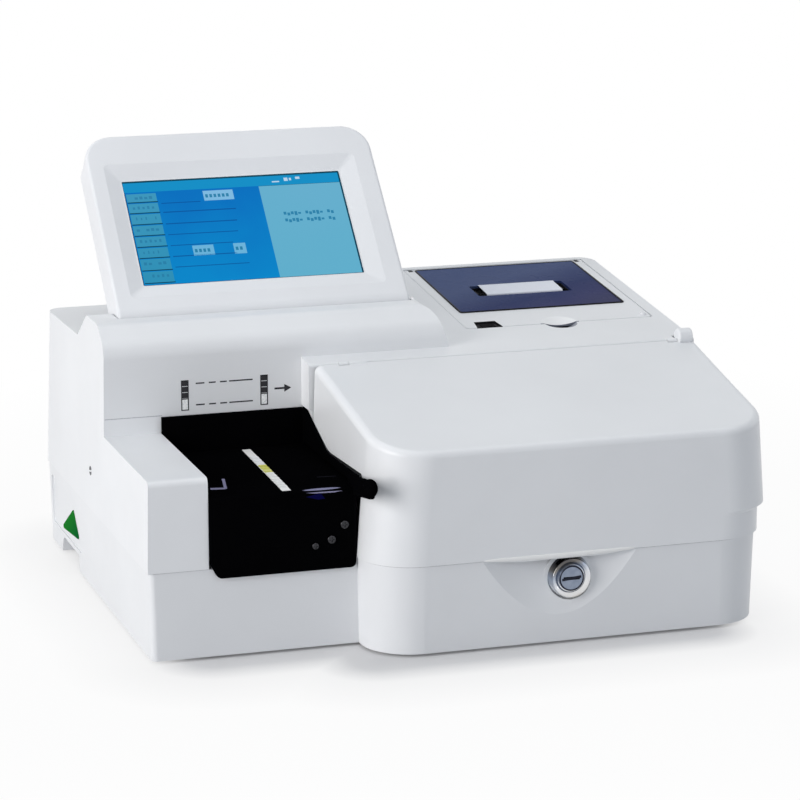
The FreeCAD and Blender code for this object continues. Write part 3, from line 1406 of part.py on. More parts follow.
def make_idler_pulley():
    wheel = pulley(idler_y, tub_top_z)
    return wheel.cut(rod_z(100, 130, pulley_x, idler_y, 2.0 + pin_gap))


def make_idler_post():
    post = rod_z(tub_top_z, belt_z1 + 3.0, pulley_x, idler_y, 2.0)
    return post.fuse(rod_z(tub_top_z, belt_z0 - 1.7, pulley_x, idler_y, 5.0)).removeSplitter()


def make_scan_motor():
    top = tub_top_z - tub_wall
    body = rod_z(72.0, top, pulley_x, drive_y, motor_radius)
    body = soften(body, 1.5, lambda e: e.BoundBox.ZMax < 73.0)
    body = body.cut(rod_z(90.0, top + 1, pulley_x, drive_y, 2.5 + pin_gap))
    return body


# ---------------------------------------------------------------- waste bin
def make_waste_bin():
    outer = loft(rectangle(bin_x0 + 3.0, bin_x1 - 3.0, bin_y0 + 3.0, bin_y1 - 3.0, 8.0), bin_foot_z,
                 rectangle(bin_x0, bin_x1, bin_y0, bin_y1, 8.0), tub_top_z + 1.5)
    inner = loft(rectangle(bin_x0 + 5.0, bin_x1 - 5.0, bin_y0 + 5.0, bin_y1 - 5.0, 6.5), bin_foot_z + 2.0,
                 rectangle(bin_x0 + 2.0, bin_x1 - 2.0, bin_y0 + 2.0, bin_y1 - 2.0, 6.5), tub_top_z + 3.0)
    rim = plate(rectangle(bin_x0 - 4.0, bin_x1 + 4.0, bin_y0 - 4.0, bin_y1 + 4.0, 9.0),
                tub_top_z + 0.1, tub_top_z + 2.1)
    return outer.fuse(rim).cut(inner).removeSplitter()


# ---------------------------------------------------------------- lock
seat_y = lock_face_y + lock_bezel_depth
lock_boss_back = seat_y + lock_boss_depth
barrel_end_y = seat_y + 17.7
cam_y = barrel_end_y + 0.9
cam_thickness = 2.0


def make_lock_barrel():
    bezel = Part.makeCone(lock_bezel_radius, lock_bezel_radius - 1.6, lock_bezel_depth,
                          vec(lock_x, seat_y, lock_z), vec(0, -1, 0))
    bezel = soften(bezel, 1.0, lambda e: e.BoundBox.YMax < lock_face_y + 0.1)
    body = rod_y(seat_y, barrel_end_y, lock_x, lock_z, lock_body_radius)
    barrel = bezel.fuse(body)
    dish = Part.makeCone(lock_plug_radius + 0.6, lock_plug_radius + 2.8, 1.6,
                         vec(lock_x, lock_face_y + 1.6, lock_z), vec(0, -1, 0))
    barrel = barrel.cut(dish)
    return barrel.cut(rod_y(lock_face_y - 1, barrel_end_y + 1, lock_x, lock_z, lock_plug_radius + pin_gap))


def make_lock_plug():
    plug = rod_y(lock_face_y + 0.4, barrel_end_y + 0.6, lock_x, lock_z, lock_plug_radius)
    plug = soften(plug, 0.6, lambda e: e.BoundBox.YMax < lock_face_y + 1.0)
    stem = box(lock_x - 3.0, lock_x + 3.0, barrel_end_y, cam_y + cam_thickness + 1.0, lock_z - 3.0, lock_z + 3.0)
    slot = box(lock_x - 5.6, lock_x + 5.6, lock_face_y - 1, lock_face_y + 14.0, lock_z - 1.1, lock_z + 1.1)
    return plug.fuse(stem).cut(slot).removeSplitter()


def make_lock_cam():
    reach = 22.0
    cam = bar_y([(lock_x + 7.0, lock_z - 6.0, 5.5), (lock_x + 7.0, lock_z + 6.0, 5.5),
                 (lock_x - reach, lock_z + 6.0, 3.0), (lock_x - reach, lock_z - 6.0, 3.0)],
                cam_y, cam_y + cam_thickness)
    return cam.cut(box(lock_x - 3.0, lock_x + 3.0, cam_y - 1, cam_y + 5, lock_z - 3.0, lock_z + 3.0))


def make_lock_nut():
    corners = []
    for step in range(6):
        turn = math.pi / 3 * step
        corners.append((lock_x + 14.5 * math.cos(turn), lock_z + 14.5 * math.sin(turn), 0.8))
    nut = bar_y(corners, lock_boss_back, lock_boss_back + 4.0)
    return nut.cut(rod_y(seat_y, barrel_end_y + 5, lock_x, lock_z, lock_body_radius))


# ---------------------------------------------------------------- chassis and electronics
def make_chassis_plate():
    inset = lower_bottom_inset + wall + 0.6
    sheet = plate(footprint(inset), chassis_z, chassis_z + chassis_thickness)
    sheet = sheet.cut(scoop_tool(wall + 1.0))
    for x, y in housing_post_places():
        sheet = sheet.cut(rod_z(0, 20, x, y, 5.6))
    sheet = sheet.cut(box(left_x, left_x + 17.0, arch_start - 6.0, arch_start + arch_length + 10.0, 0, 20))
    for row in range(5):
        x = left_x + 60.0 + 34.0 * row
        sheet = sheet.cut(plate(rectangle(x, x + 20.0, bay_front_y + 66.0, bay_front_y + 110.0, 2.0), 0, 20))
    return sheet


def chassis_post_places():
    return [(left_x + 60.0, bay_front_y + 20.0), (lower_right_x - 20.0, bulkhead_y), (0.0, back_y - 16.0),
            (left_x + 60.0, back_y - 16.0), (lock_x - 32.0, front_y + 50.0)]


board_rear_y = back_y - 25.5
main_board_z = chassis_z + chassis_thickness + 6.0


def make_main_board():
    board = box(left_x + 21.5, left_x + 221.5, board_rear_y - 140.0, board_rear_y, main_board_z, main_board_z + 1.6)
    posts = [rod_z(chassis_z + chassis_thickness, main_board_z + 0.1, x, y, 3.0)
             for x in (left_x + 28.0, left_x + 215.0) for y in (board_rear_y - 133.0, board_rear_y - 7.0)]
    return joined([board] + posts)


def make_board_components():
    top = main_board_z + 1.6
    x0 = left_x + 21.5
    y0 = board_rear_y - 140.0
    parts = [
        box(x0 + 60, x0 + 90, y0 + 50, y0 + 80, top, top + 3.0),
        box(x0 + 110, x0 + 132, y0 + 40, y0 + 50, top, top + 2.5),
        box(x0 + 110, x0 + 132, y0 + 60, y0 + 70, top, top + 2.5),
        box(x0 + 150, x0 + 190, y0 + 8, y0 + 16, top, top + 9.0),
        box(x0 + 20, x0 + 60, y0 + 8, y0 + 16, top, top + 9.0),
        box(x0 + 30, x0 + 44, y0 + 60, y0 + 74, top, top + 2.0),
    ]
    for column in range(4):
        parts.append(rod_z(top, top + 14.0, x0 + 155 + 9 * column, y0 + 90, 4.0))
    return Part.makeCompound(parts)


supply_x0 = lower_right_x - 107.0
supply_x1 = supply_x0 + 85.0
supply_y0 = back_y - 112.0
supply_y1 = supply_y0 + 84.0


def make_power_supply():
    low = chassis_z + chassis_thickness
    case = box(supply_x0, supply_x1, supply_y0, supply_y1, low, low + 38.0)
    case = soften(case, 1.2, lambda e: e.BoundBox.ZLength > 30)
    for row in range(7):
        y = supply_y0 + 10.0 + 9.0 * row
        case = case.cut(box(supply_x0 + 12.0, supply_x1 - 12.0, y, y + 3.0, low + 36.5, low + 40.0))
    return case


# ---------------------------------------------------------------- rear
panel_face_y = back_y - 4.5
rear_panel_thickness = 2.0
inlet_x = rear_x1 - 34.0
inlet_z = 42.0
rocker_x = rear_x1 - 76.0
ports_z = 40.0


def make_rear_panel():
    gap = 0.25
    sheet = bar_y(rectangle(rear_x0 + gap, rear_x1 - gap, rear_z0 + gap, rear_z1 - gap, 1.0),
                  panel_face_y - rear_panel_thickness, panel_face_y)
    for tab_x in (rear_x0 + 20.0, 0.0, rear_x1 - 20.0):
        tab = box(tab_x - 8.0, tab_x + 8.0, panel_face_y - rear_panel_thickness - 3.0,
                  panel_face_y - rear_panel_thickness - 0.9, rear_z0 - 4.0, rear_z0 + 8.0)
        neck = box(tab_x - 8.0, tab_x + 8.0, panel_face_y - rear_panel_thickness - 3.0,
                   panel_face_y - 0.5, rear_z0 + 1.0, rear_z0 + 6.0)
        sheet = sheet.fuse(tab).fuse(neck)
    sheet = sheet.cut(bar_y(rectangle(inlet_x - 13.8, inlet_x + 13.8, inlet_z - 10.2, inlet_z + 10.2, 2.0),
                            panel_face_y - 5, panel_face_y + 5))
    sheet = sheet.cut(bar_y(rectangle(rocker_x - 6.8, rocker_x + 6.8, inlet_z - 10.0, inlet_z + 10.0, 1.0),
                            panel_face_y - 5, panel_face_y + 5))
    for x, width, height in port_places():
        sheet = sheet.cut(bar_y(rectangle(x - width / 2, x + width / 2, ports_z - height / 2,
                                          ports_z + height / 2, 0.5), panel_face_y - 5, panel_face_y + 5))
    for row in range(12):
        x = rear_x0 + 40.0 + 8.0 * row
        sheet = sheet.cut(bar_y([(x, 60.0, 1.4), (x + 3.0, 60.0, 1.4), (x + 3.0, 84.0, 1.4), (x, 84.0, 1.4)],
                                panel_face_y - 5, panel_face_y + 5))
    return sheet.removeSplitter()


def port_places():
    """X position, width and height of the data ports."""
    return [(rear_x0 + 40.0, 16.0, 13.5), (rear_x0 + 64.0, 13.2, 14.6), (rear_x0 + 96.0, 31.0, 12.5),
            (rear_x0 + 138.0, 31.0, 12.5)]


def make_data_ports():
    ports = []
    y0, y1 = panel_face_y - 16.0, panel_face_y + 0.4
    for x, width, height in port_places():
        w, h = width - 0.4, height - 0.4
        body = bar_y(rectangle(x - w / 2, x + w / 2, ports_z - h / 2, ports_z + h / 2, 0.4), y0, y1)
        if width > 20:
            mouth = bar_y([(x - 10.5, ports_z + 4.0, 1.5), (x + 10.5, ports_z + 4.0, 1.5),
                           (x + 9.2, ports_z - 4.0, 1.5), (x - 9.2, ports_z - 4.0, 1.5)], y1 - 6.0, y1 + 1)
        else:
            mouth = box(x - w / 2 + 1.2, x + w / 2 - 1.2, y1 - 9.0, y1 + 1, ports_z - h / 2 + 1.5, ports_z + h / 2 - 1.5)
        body = body.cut(mouth)
        if width > 20:
            body = body.fuse(box(x - 8.5, x + 8.5, y1 - 6.5, y1 - 1.0, ports_z - 2.6, ports_z + 2.6))
        ports.append(body)
    return Part.makeCompound(ports)


def make_power_inlet():
    y1 = panel_face_y + 2.2
    body = bar_y(rectangle(inlet_x - 13.5, inlet_x + 13.5, inlet_z - 9.9, inlet_z + 9.9, 2.0),
                 panel_face_y - 20.0, panel_face_y + 0.5)
    flange = bar_y(rectangle(inlet_x - 15.2, inlet_x + 15.2, inlet_z - 12.0, inlet_z + 12.0, 2.0),
                   panel_face_y, y1)
    inlet = body.fuse(flange)
    mouth = bar_y([(inlet_x - 12.0, inlet_z - 8.2, 1.5), (inlet_x + 12.0, inlet_z - 8.2, 1.5),
                   (inlet_x + 12.0, inlet_z + 3.5, 1.0), (inlet_x + 7.5, inlet_z + 8.2, 1.0),
                   (inlet_x - 7.5, inlet_z + 8.2, 1.0), (inlet_x - 12.0, inlet_z + 3.5, 1.0)],
                  y1 - 17.0, y1 + 1)
    inlet = inlet.cut(mouth)
    for x, z in ((inlet_x - 7.0, inlet_z - 2.0), (inlet_x, inlet_z + 2.0), (inlet_x + 7.0, inlet_z - 2.0)):
        inlet = inlet.fuse(box(x - 1.0, x + 1.0, y1 - 18.0, y1 - 5.0, z - 2.0, z + 2.0))
    return inlet.removeSplitter()


def make_rocker_frame():
    y1 = panel_face_y + 1.6
    body = bar_y(rectangle(rocker_x - 6.5, rocker_x + 6.5, inlet_z - 9.7, inlet_z + 9.7, 0.8),
                 panel_face_y - 12.0, panel_face_y + 0.2)
    flange = bar_y(rectangle(rocker_x - 8.0, rocker_x + 8.0, inlet_z - 11.5, inlet_z + 11.5, 1.5), panel_face_y, y1)
    frame = body.fuse(flange)
    frame = frame.cut(box(rocker_x - 5.0, rocker_x + 5.0, panel_face_y - 9.0, y1 + 1, inlet_z - 8.6, inlet_z + 8.6))
    for sign in (-1, 1):
        frame = frame.cut(rod_x(*sorted((rocker_x + sign * 4.9, rocker_x + sign * 5.8)),
                                panel_face_y - 2.5, inlet_z, 1.25))
    return frame.removeSplitter()


def make_power_rocker():
    """Rocker with its lower half standing out; it turns on two pips in the frame."""
    y = panel_face_y - 2.5
    corners = [(y - 3.0, inlet_z - 5.0, 1.0), (y - 3.0, inlet_z + 5.0, 1.0), (y + 3.9, inlet_z + 7.3, 0.6),
               (y + 4.4, inlet_z, 6.0), (y + 6.0, inlet_z - 7.0, 0.6)]
    rocker = bar_x(corners, rocker_x - 4.7, rocker_x + 4.7)
    return rocker.fuse(rod_x(rocker_x - 5.6, rocker_x + 5.6, y, inlet_z, 1.2)).removeSplitter()


# ---------------------------------------------------------------- small outside pieces
def make_side_window():
    """Green three-cornered inlay low on the left side."""
    y1 = back_y - 16.0              # rear end of the shallow field
    x1 = left_x + lower_bottom_inset * 0.8 + side_recess_depth
    corners = [(y1 - 65.5, 41.0, 1.0), (y1 - 26.5, 18.7, 1.5), (y1 - 83.5, 24.0, 1.5)]
    return bar_x(corners, x1 - 0.5, x1)


def make_side_screw():
    head = rod_x(left_x + 0.9, left_x + 2.35, screw_y, screw_z, 3.2)
    head = head.cut(box(left_x, left_x + 1.7, screw_y - 2.4, screw_y + 2.4, screw_z - 0.45, screw_z + 0.45))
    return head.fuse(rod_x(left_x + 2.35, left_x + 7.5, screw_y, screw_z, 1.5)).removeSplitter()


def make_housing_screws():
    screws = []
    for x, y in housing_post_places():
        head = rod_z(part_line_z - 12.4, part_line_z - 10.0, x, y, 3.2)
        head = head.cut(cross_slot(x, y, part_line_z - 12.4, 1.2))
        screws.append(head.fuse(rod_z(part_line_z - 10.0, part_line_z + 10.0, x, y, 1.45)))
    return Part.makeCompound(screws)


# ---------------------------------------------------------------- all pieces
pieces = {
    "lower_housing": make_lower_housing,
    "upper_housing": make_upper_housing,
    "rubber_feet": make_feet,
    "chassis_plate": make_chassis_plate,
    "housing_screws": make_housing_screws,
    "side_screw": make_side_screw,
    "side_window": make_side_window,
    "rear_panel": make_rear_panel,
    "power_inlet": make_power_inlet,
    "rocker_frame": make_rocker_frame,
    "power_rocker": make_power_rocker,
    "data_ports": make_data_ports,
    "main_board": make_main_board,
    "board_components": make_board_components,
    "power_supply": make_power_supply,
    "flip_cover": make_flip_cover,
    "cover_catch": make_cover_catch,
    "cover_hinge_pins": make_cover_hinge_pins,
    "lock_barrel": make_lock_barrel,
    "lock_plug": make_lock_plug,
    "lock_cam": make_lock_cam,
    "lock_nut": make_lock_nut,
    "display_bezel": make_display_bezel,
    "display_back_shell": make_display_back_shell,
    "lcd_panel": make_lcd_panel,
    "display_board": make_display_board,
    "display_hinge_pins": make_display_hinge_pins,
    "pod_screws": make_pod_screws,
    "printer_frame": make_printer_frame,
    "printer_door": make_printer_door,
    "door_panel": make_door_panel,
    "door_latch": make_door_latch,
    "door_lamp": make_door_lamp,
    "door_hinge_pin": make_door_hinge_pin,
    "platen_roller": make_platen_roller,
    "thermal_head": make_thermal_head,
    "paper_roll": make_paper_roll,
    "roll_core": make_roll_core,
    "paper_tail": make_paper_tail,
    "strip_tray": make_strip_tray,
    "tray_apron": make_tray_apron,
    "tray_screws": make_tray_screws,
    "tray_guard": make_tray_guard,
    "tray_rails": make_tray_rails,
    "test_strip": make_test_strip,
    "reagent_pads": make_reagent_pads,
    "inner_deck": make_inner_deck,
    "guide_rods": make_guide_rods,
    "rod_brackets": make_rod_brackets,
    "optical_head": make_optical_head,
    "head_lens": make_head_lens,
    "scan_motor": make_scan_motor,
    "drive_pulley": make_drive_pulley,
    "idler_pulley": make_idler_pulley,
    "idler_post": make_idler_post,
    "scan_belt": make_scan_belt,
    "strip_carrier": make_strip_carrier,
    "carrier_rail": make_carrier_rail,
    "waste_bin": make_waste_bin,
}

os.makedirs("parts", exist_ok=True)
for name, make in pieces.items():
    make().exportStep("parts/" + name + ".step")
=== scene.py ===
"""Looks of a urine analyser: a white moulded bench unit with a flip cover, a tilting
screen, a printer under a door and a black strip tray. Every length is in metres, in the
part's own frame: X to the right, Y to the back and Z up."""

import math

import bpy
import numpy as np
from mathutils import Matrix, Vector


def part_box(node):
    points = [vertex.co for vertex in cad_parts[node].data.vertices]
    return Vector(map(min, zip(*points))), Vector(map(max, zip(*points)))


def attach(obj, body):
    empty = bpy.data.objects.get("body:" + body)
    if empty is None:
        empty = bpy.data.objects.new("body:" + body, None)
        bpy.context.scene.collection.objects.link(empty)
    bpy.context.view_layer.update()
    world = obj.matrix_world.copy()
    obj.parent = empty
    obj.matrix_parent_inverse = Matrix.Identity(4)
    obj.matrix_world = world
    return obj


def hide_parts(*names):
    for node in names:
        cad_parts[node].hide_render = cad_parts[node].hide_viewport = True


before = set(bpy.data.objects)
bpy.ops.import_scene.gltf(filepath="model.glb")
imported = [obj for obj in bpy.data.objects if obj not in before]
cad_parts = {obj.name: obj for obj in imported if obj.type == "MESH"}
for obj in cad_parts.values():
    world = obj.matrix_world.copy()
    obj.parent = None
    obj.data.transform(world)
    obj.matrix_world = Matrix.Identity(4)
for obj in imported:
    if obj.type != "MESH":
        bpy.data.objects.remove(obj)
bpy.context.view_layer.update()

# ---------------------------------------------------------------- places on the unit

base_joint = 0.0591             # height of the joint between the base and the shell above
lock_middle = (0.0625, 0.043)   # X and Z of the key lock's axis
screw_axis = (0.0287, 0.0860)   # Y and Z of the side screw's axis
# Y of the upright faces that pieces are laid on
cover_front, hump_front, lock_front, apron_front = -0.17281, -0.01231, -0.17212, -0.13821

# the printer's slope: the foot of its door, in its middle, and its unit up and out
slope = math.radians(5.87)
door_foot = (0.1255, 0.02219, 0.16710)
door_up = (0.0, math.cos(slope), math.sin(slope))
door_out = (0.0, -math.sin(slope), math.cos(slope))
# middles of the balls that hollow the finger dimple and the door's lip, on that slope
dimple_middle, scoop_middle = (0.0, -0.0010, 0.0124), (0.0, 0.0015, 0.0360)

# the door's indigo panel
panel_low, panel_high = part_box("door_panel")
panel_middle = (panel_low[0] + panel_high[0]) / 2
panel_half = (panel_high[0] - panel_low[0]) / 2
panel_thick = 0.0016

# the screen, whose face leans back by 45 degrees from its root
screen_root, screen_lean = (-0.0845, 0.03469, 0.1852), math.sqrt(0.5)
screen_left, screen_right, screen_foot, screen_head = -0.0795, 0.0746, 0.0201, 0.1060
glass_out = 0.01010


# ---------------------------------------------------------------- materials

noise_low, noise_high = 0.3, 0.7    # a noise pattern's values seldom leave this span


def times(colour, factor):
    """A colour made darker or paler: each of its parts times a factor."""
    return tuple(c * factor for c in colour)


class Wiring:
    """A tree of shader nodes, with helpers that add nodes and join them."""

    def __init__(self, tree):
        self.tree = tree

    def put(self, socket, value):
        """Links an output to the socket, or sets the socket's own value."""
        if isinstance(value, bpy.types.NodeSocket):
            self.tree.links.new(value, socket)
        else:
            socket.default_value = value

    def add(self, kind, **sockets):
        """A new node, with the sockets that are named here filled."""
        node = self.tree.nodes.new(kind)
        for name, value in sockets.items():
            self.put(node.inputs[name.replace("_", " ")], value)
        return node

    def math(self, operation, first, second=0.0):
        """One arithmetic step on one or two values."""
        node = self.add("ShaderNodeMath")
        node.operation = operation
        self.put(node.inputs[0], first)
        self.put(node.inputs[1], second)
        return node.outputs[0]

    def vector(self, operation, first, second=None, result="Vector"):
        """One step on one or two vectors, whose result is a vector or a value."""
        node = self.add("ShaderNodeVectorMath")
        node.operation = operation
        self.put(node.inputs[0], first)
        if second is not None:
            self.put(node.inputs[1], second)
        return node.outputs[result]

    def seen(self):
        """1 for rays from the camera, mirrors and clear pieces, 0 for light that is scattered."""
        rays = self.add("ShaderNodeLightPath").outputs
        straight = self.math("MAXIMUM", rays["Is Camera Ray"], rays["Is Glossy Ray"])
        return self.math("MAXIMUM", straight, rays["Is Transmission Ray"])

    def show(self, output, share, under, above):
        """Sends two surfaces to the output, mixed by the share of the one above."""
        mix = self.add("ShaderNodeMixShader", Fac=share)
        self.put(mix.inputs[1], under)
        self.put(mix.inputs[2], above)
        self.put(self.tree.nodes[output].inputs["Surface"], mix.outputs[0])


class Finish(Wiring):
    """One procedural material: a Principled shader with helpers that hang patterns on it,
    all of them measured in metres on Object coordinates."""

    def __init__(self, name):
        self.mat = bpy.data.materials.new(name)
        self.mat.use_nodes = True
        super().__init__(self.mat.node_tree)
        self.shader = self.tree.nodes["Principled BSDF"]
        self.where = self.tree.nodes.new("ShaderNodeTexCoord").outputs["Object"]

    def set(self, **sockets):
        """Fills the shader's own sockets."""
        for name, value in sockets.items():
            self.put(self.shader.inputs[name.replace("_", " ")], value)
        return self

    def noise(self, scale, detail=2.0, roughness=0.5, where=None):
        """Cloudy pattern with scale clouds to the metre."""
        node = self.add("ShaderNodeTexNoise", Vector=where or self.where, Scale=scale,
                        Detail=detail, Roughness=roughness)
        return node.outputs["Fac"]

    def span(self, value, low, high, start=0.0, end=1.0):
        """A value carried from start..end to low..high, kept between them."""
        node = self.add("ShaderNodeMapRange", Value=value)
        node.clamp = True
        for socket, number in zip(("From Min", "From Max", "To Min", "To Max"),
                                  (start, end, low, high)):
            node.inputs[socket].default_value = number
        return node.outputs["Result"]

    def clouded(self, noise, low, high):
        """A noise pattern carried to low..high."""
        return self.span(noise, low, high, noise_low, noise_high)

    def ramp(self, value, stops, step=False):
        """Colours by place along a value: stops are (place, colour)."""
        node = self.add("ShaderNodeValToRGB", Fac=value)
        node.color_ramp.interpolation = "CONSTANT" if step else "LINEAR"
        marks = node.color_ramp.elements
        while len(marks) < len(stops):
            marks.new(0.5)
        for mark, (place, colour) in zip(marks, stops):
            mark.position = place
            mark.color = (*colour, 1.0)
        return node.outputs["Color"]

    def along(self, direction, origin=(0.0, 0.0, 0.0)):
        """Distance along a direction from an origin."""
        away = self.vector("SUBTRACT", self.where, origin)
        return self.vector("DOT_PRODUCT", away, direction, "Value")

    def inside(self, value, low, high):
        """1 where a value lies between two limits, otherwise 0."""
        return self.math("MULTIPLY", self.math("GREATER_THAN", value, low),
                         self.math("LESS_THAN", value, high))

    def over(self, mask, under, colour):
        """One colour laid over another where the mask is 1."""
        mix = self.add("ShaderNodeMix")
        mix.data_type = "RGBA"
        self.put(mix.inputs["Factor"], mask)
        for socket, tone in zip(mix.inputs[6:8], (under, colour)):
            self.put(socket, tone if isinstance(tone, bpy.types.NodeSocket) else (*tone, 1.0))
        return mix.outputs[2]

    def bump(self, height, depth):
        """Small relief of the given depth."""
        node = self.add("ShaderNodeBump", Height=height, Strength=1.0, Distance=depth)
        return self.set(Normal=node.outputs["Normal"])


def moulded(name, colour, rough=(0.34, 0.42), shade=0.03, depth=1.2e-5, coat=0.0, gleam=0.5,
            shades=()):
    """Moulded plastic: two close shades clouded together, and a fine sparked grain. Each of
    shades gives a mask and the colour laid over the plastic there."""
    f = Finish(name)
    cloud = f.noise(9.0, 3.0)
    pale = tuple(min(1.0, c) for c in times(colour, 1.0 + shade))
    body = f.ramp(cloud, [(noise_low, times(colour, 1.0 - shade)), (noise_high, pale)])
    for shade_of in shades:
        mask, tone = shade_of(f)
        body = f.over(mask, body, tone)
    f.set(Base_Color=body)
    f.set(Roughness=f.clouded(f.noise(60.0, 4.0), *rough), Specular_IOR_Level=gleam)
    f.bump(f.noise(1500.0, 2.0), depth)
    if coat:
        f.set(Coat_Weight=coat, Coat_Roughness=0.06)
    return f.mat


def metal(name, colour, rough, brush=(1.0, 1.0, 1.0), depth=6e-6):
    """Metal: a little tarnish in its shade, and fine brush marks drawn out across one axis."""
    f = Finish(name)
    f.set(Metallic=1.0)
    tarnish = f.noise(70.0, 4.0)
    f.set(Base_Color=f.ramp(tarnish, [(noise_low, times(colour, 0.86)), (noise_high, colour)]))
    stretch = f.add("ShaderNodeMapping", Vector=f.where, Scale=brush)
    marks = f.noise(900.0, 3.0, where=stretch.outputs["Vector"])
    f.set(Roughness=f.clouded(marks, *rough))
    f.bump(marks, depth)
    return f.mat


def paper(name, colour, shade=0.035):
    """Paper or card: short fibres in shade and height, quite dull."""
    f = Finish(name)
    strands = f.noise(420.0, 6.0, 0.7)
    f.set(Base_Color=f.ramp(strands, [(0.35, times(colour, 1.0 - shade)), (0.65, colour)]))
    f.set(Roughness=f.clouded(strands, 0.75, 0.92))
    return f.bump(strands, 3e-5).mat


def ink(name, colour):
    """Screen-printed ink: thin, dull and a little uneven in cover."""
    f = Finish(name)
    cover = f.noise(800.0, 3.0)
    pale = tuple(c * 1.6 + 0.004 for c in colour)
    f.set(Base_Color=f.ramp(cover, [(0.35, colour), (0.75, pale)]))
    f.set(Roughness=f.clouded(cover, 0.45, 0.6))
    return f.bump(cover, 8e-6).mat


def seam_painted_shade(f):
    """Painted shade: a dark strip just under the joint between the base and the shell above."""
    blur = 0.0001
    rise = f.along((0.0, 0.0, 1.0), (0.0, 0.0, base_joint))
    return f.span(rise, 0.0, 1.0, -blur, blur), (0.23, 0.235, 0.245)


def in_ball(f, middle, radius):
    """Mask of the inside of a ball whose middle is given on the printer's slope: across from
    its middle line, up the slope, and out of it."""
    across, up, out = middle
    centre = [foot + up * run + out * rise for foot, run, rise in zip(door_foot, door_up, door_out)]
    away = f.vector("DISTANCE", f.where, (centre[0] + across, *centre[1:]), "Value")
    return f.math("LESS_THAN", away, radius)


def dimple_painted_shade(f):
    """Painted shade: the housing's half of the finger dimple, shaded by the door's edge."""
    return in_ball(f, dimple_middle, 0.01698), (0.22, 0.235, 0.28)


def scoop_painted_highlight(f):
    """Painted highlight: the scooped lip of the door is painted brighter."""
    return in_ball(f, scoop_middle, 0.03805), (0.87, 0.88, 0.89)


def scoop_edge_painted_shade(f):
    """Painted shade: the door's front edge under the scoop, shaded by the dimple."""
    rise = f.along(door_up, door_foot)
    edge = f.math("MULTIPLY", in_ball(f, dimple_middle, 0.0190),
                  f.math("LESS_THAN", rise, 0.0004))
    return edge, (0.20, 0.215, 0.26)


def pockets_painted_shade(f):
    """Painted shade: the walls of the paper slot and of the latch notch are painted black.
    The slot is a rectangle. The notch lies left of the middle, and its half width falls by a
    share of the rise."""
    slot_half, slot_foot, slot_head = 0.0352, 0.0692, 0.0938
    notch_left, notch_half, narrowing = 0.0512, 0.00926, 0.127
    notch_foot, notch_head = -0.0015, 0.01275
    across, rise = f.along((1.0, 0.0, 0.0), door_foot), f.along(door_up, door_foot)
    slot = f.math("MULTIPLY", f.inside(across, -slot_half, slot_half),
                  f.inside(rise, slot_foot, slot_head))
    half = f.math("SUBTRACT", notch_half, f.math("MULTIPLY", rise, narrowing))
    aside = f.math("ABSOLUTE", f.math("ADD", across, notch_left))
    notch = f.math("MULTIPLY", f.math("LESS_THAN", aside, half),
                   f.inside(rise, notch_foot, notch_head))
    return f.math("MAXIMUM", slot, notch), (0.004, 0.004, 0.006)


def tray_stroke(start, end, width, colour):
    """A straight mark painted on the tray, from one point of its top to another."""
    length = math.dist(start, end)
    run = ((end[0] - start[0]) / length, (end[1] - start[1]) / length, 0.0)

    def shade_of(f):
        along = f.along(run, (*start, 0.0))
        aside = f.along((-run[1], run[0], 0.0), (*start, 0.0))
        return f.math("MULTIPLY", f.inside(along, 0.0, length),
                      f.inside(aside, -width / 2, width / 2)), colour
    return shade_of


def painted_edge_glint(centre, half, colour):
    """A lens-shaped painted highlight on the tray's front edge: an ellipse given by its half axes,
    that is full up to 0.7 of the square of its size and fades out at its edge."""
    def shade_of(f):
        x, y = (f.math("POWER", f.math("ABSOLUTE", f.along(axis, (*centre, 0.0))), 2.0)
                for axis in ((1.0 / half[0], 0.0, 0.0), (0.0, 1.0 / half[1], 0.0)))
        return f.span(f.math("ADD", x, y), 1.0, 0.0, 0.7, 1.0), colour
    return shade_of


def screw_slot(f):
    """A pale band across the side screw's head along its slot, turned a little from the level."""
    half = 0.0006
    return f.inside(f.along((0.0, 0.17, 1.0), (0.0, *screw_axis)), -half, half), (0.78, 0.79, 0.80)


def board_green():
    """Circuit board: green lacquer, with tracks that show as paler bands under it."""
    f = Finish("board_green")
    cells = f.add("ShaderNodeTexBrick", Vector=f.where, Scale=90.0,
                  Color1=(0.015, 0.12, 0.045, 1), Color2=(0.02, 0.15, 0.06, 1),
                  Mortar=(0.04, 0.24, 0.10, 1))
    f.set(Base_Color=cells.outputs["Color"], Coat_Weight=0.4)
    f.set(Roughness=f.clouded(f.noise(200.0), 0.3, 0.42))
    return f.mat


def window_green():
    """Green inlay: deep green gel that darkens toward its lower edge, with a pebbled face."""
    f = Finish("window_green")
    drop = f.along((0.0, 0.55, 0.84), (0.0, 0.080, 0.020))
    f.set(Base_Color=f.ramp(f.span(drop, 0.0, 1.0, 0.0, 0.055),
                            [(0.0, (0.002, 0.100, 0.030)), (0.45, (0.014, 0.190, 0.024)),
                             (1.0, (0.008, 0.220, 0.030))]))
    f.set(Roughness=f.clouded(f.noise(300.0), 0.30, 0.42), Specular_IOR_Level=0.0)
    return f.bump(f.noise(240.0, 3.0), 6e-5).mat


def lens_glass():
    """Clear moulded lens with faint flow marks."""
    f = Finish("lens_clear")
    f.set(Base_Color=(0.82, 0.88, 0.92, 1.0), Transmission_Weight=0.85, IOR=1.49)
    f.set(Roughness=f.clouded(f.noise(80.0), 0.05, 0.10))
    return f.mat


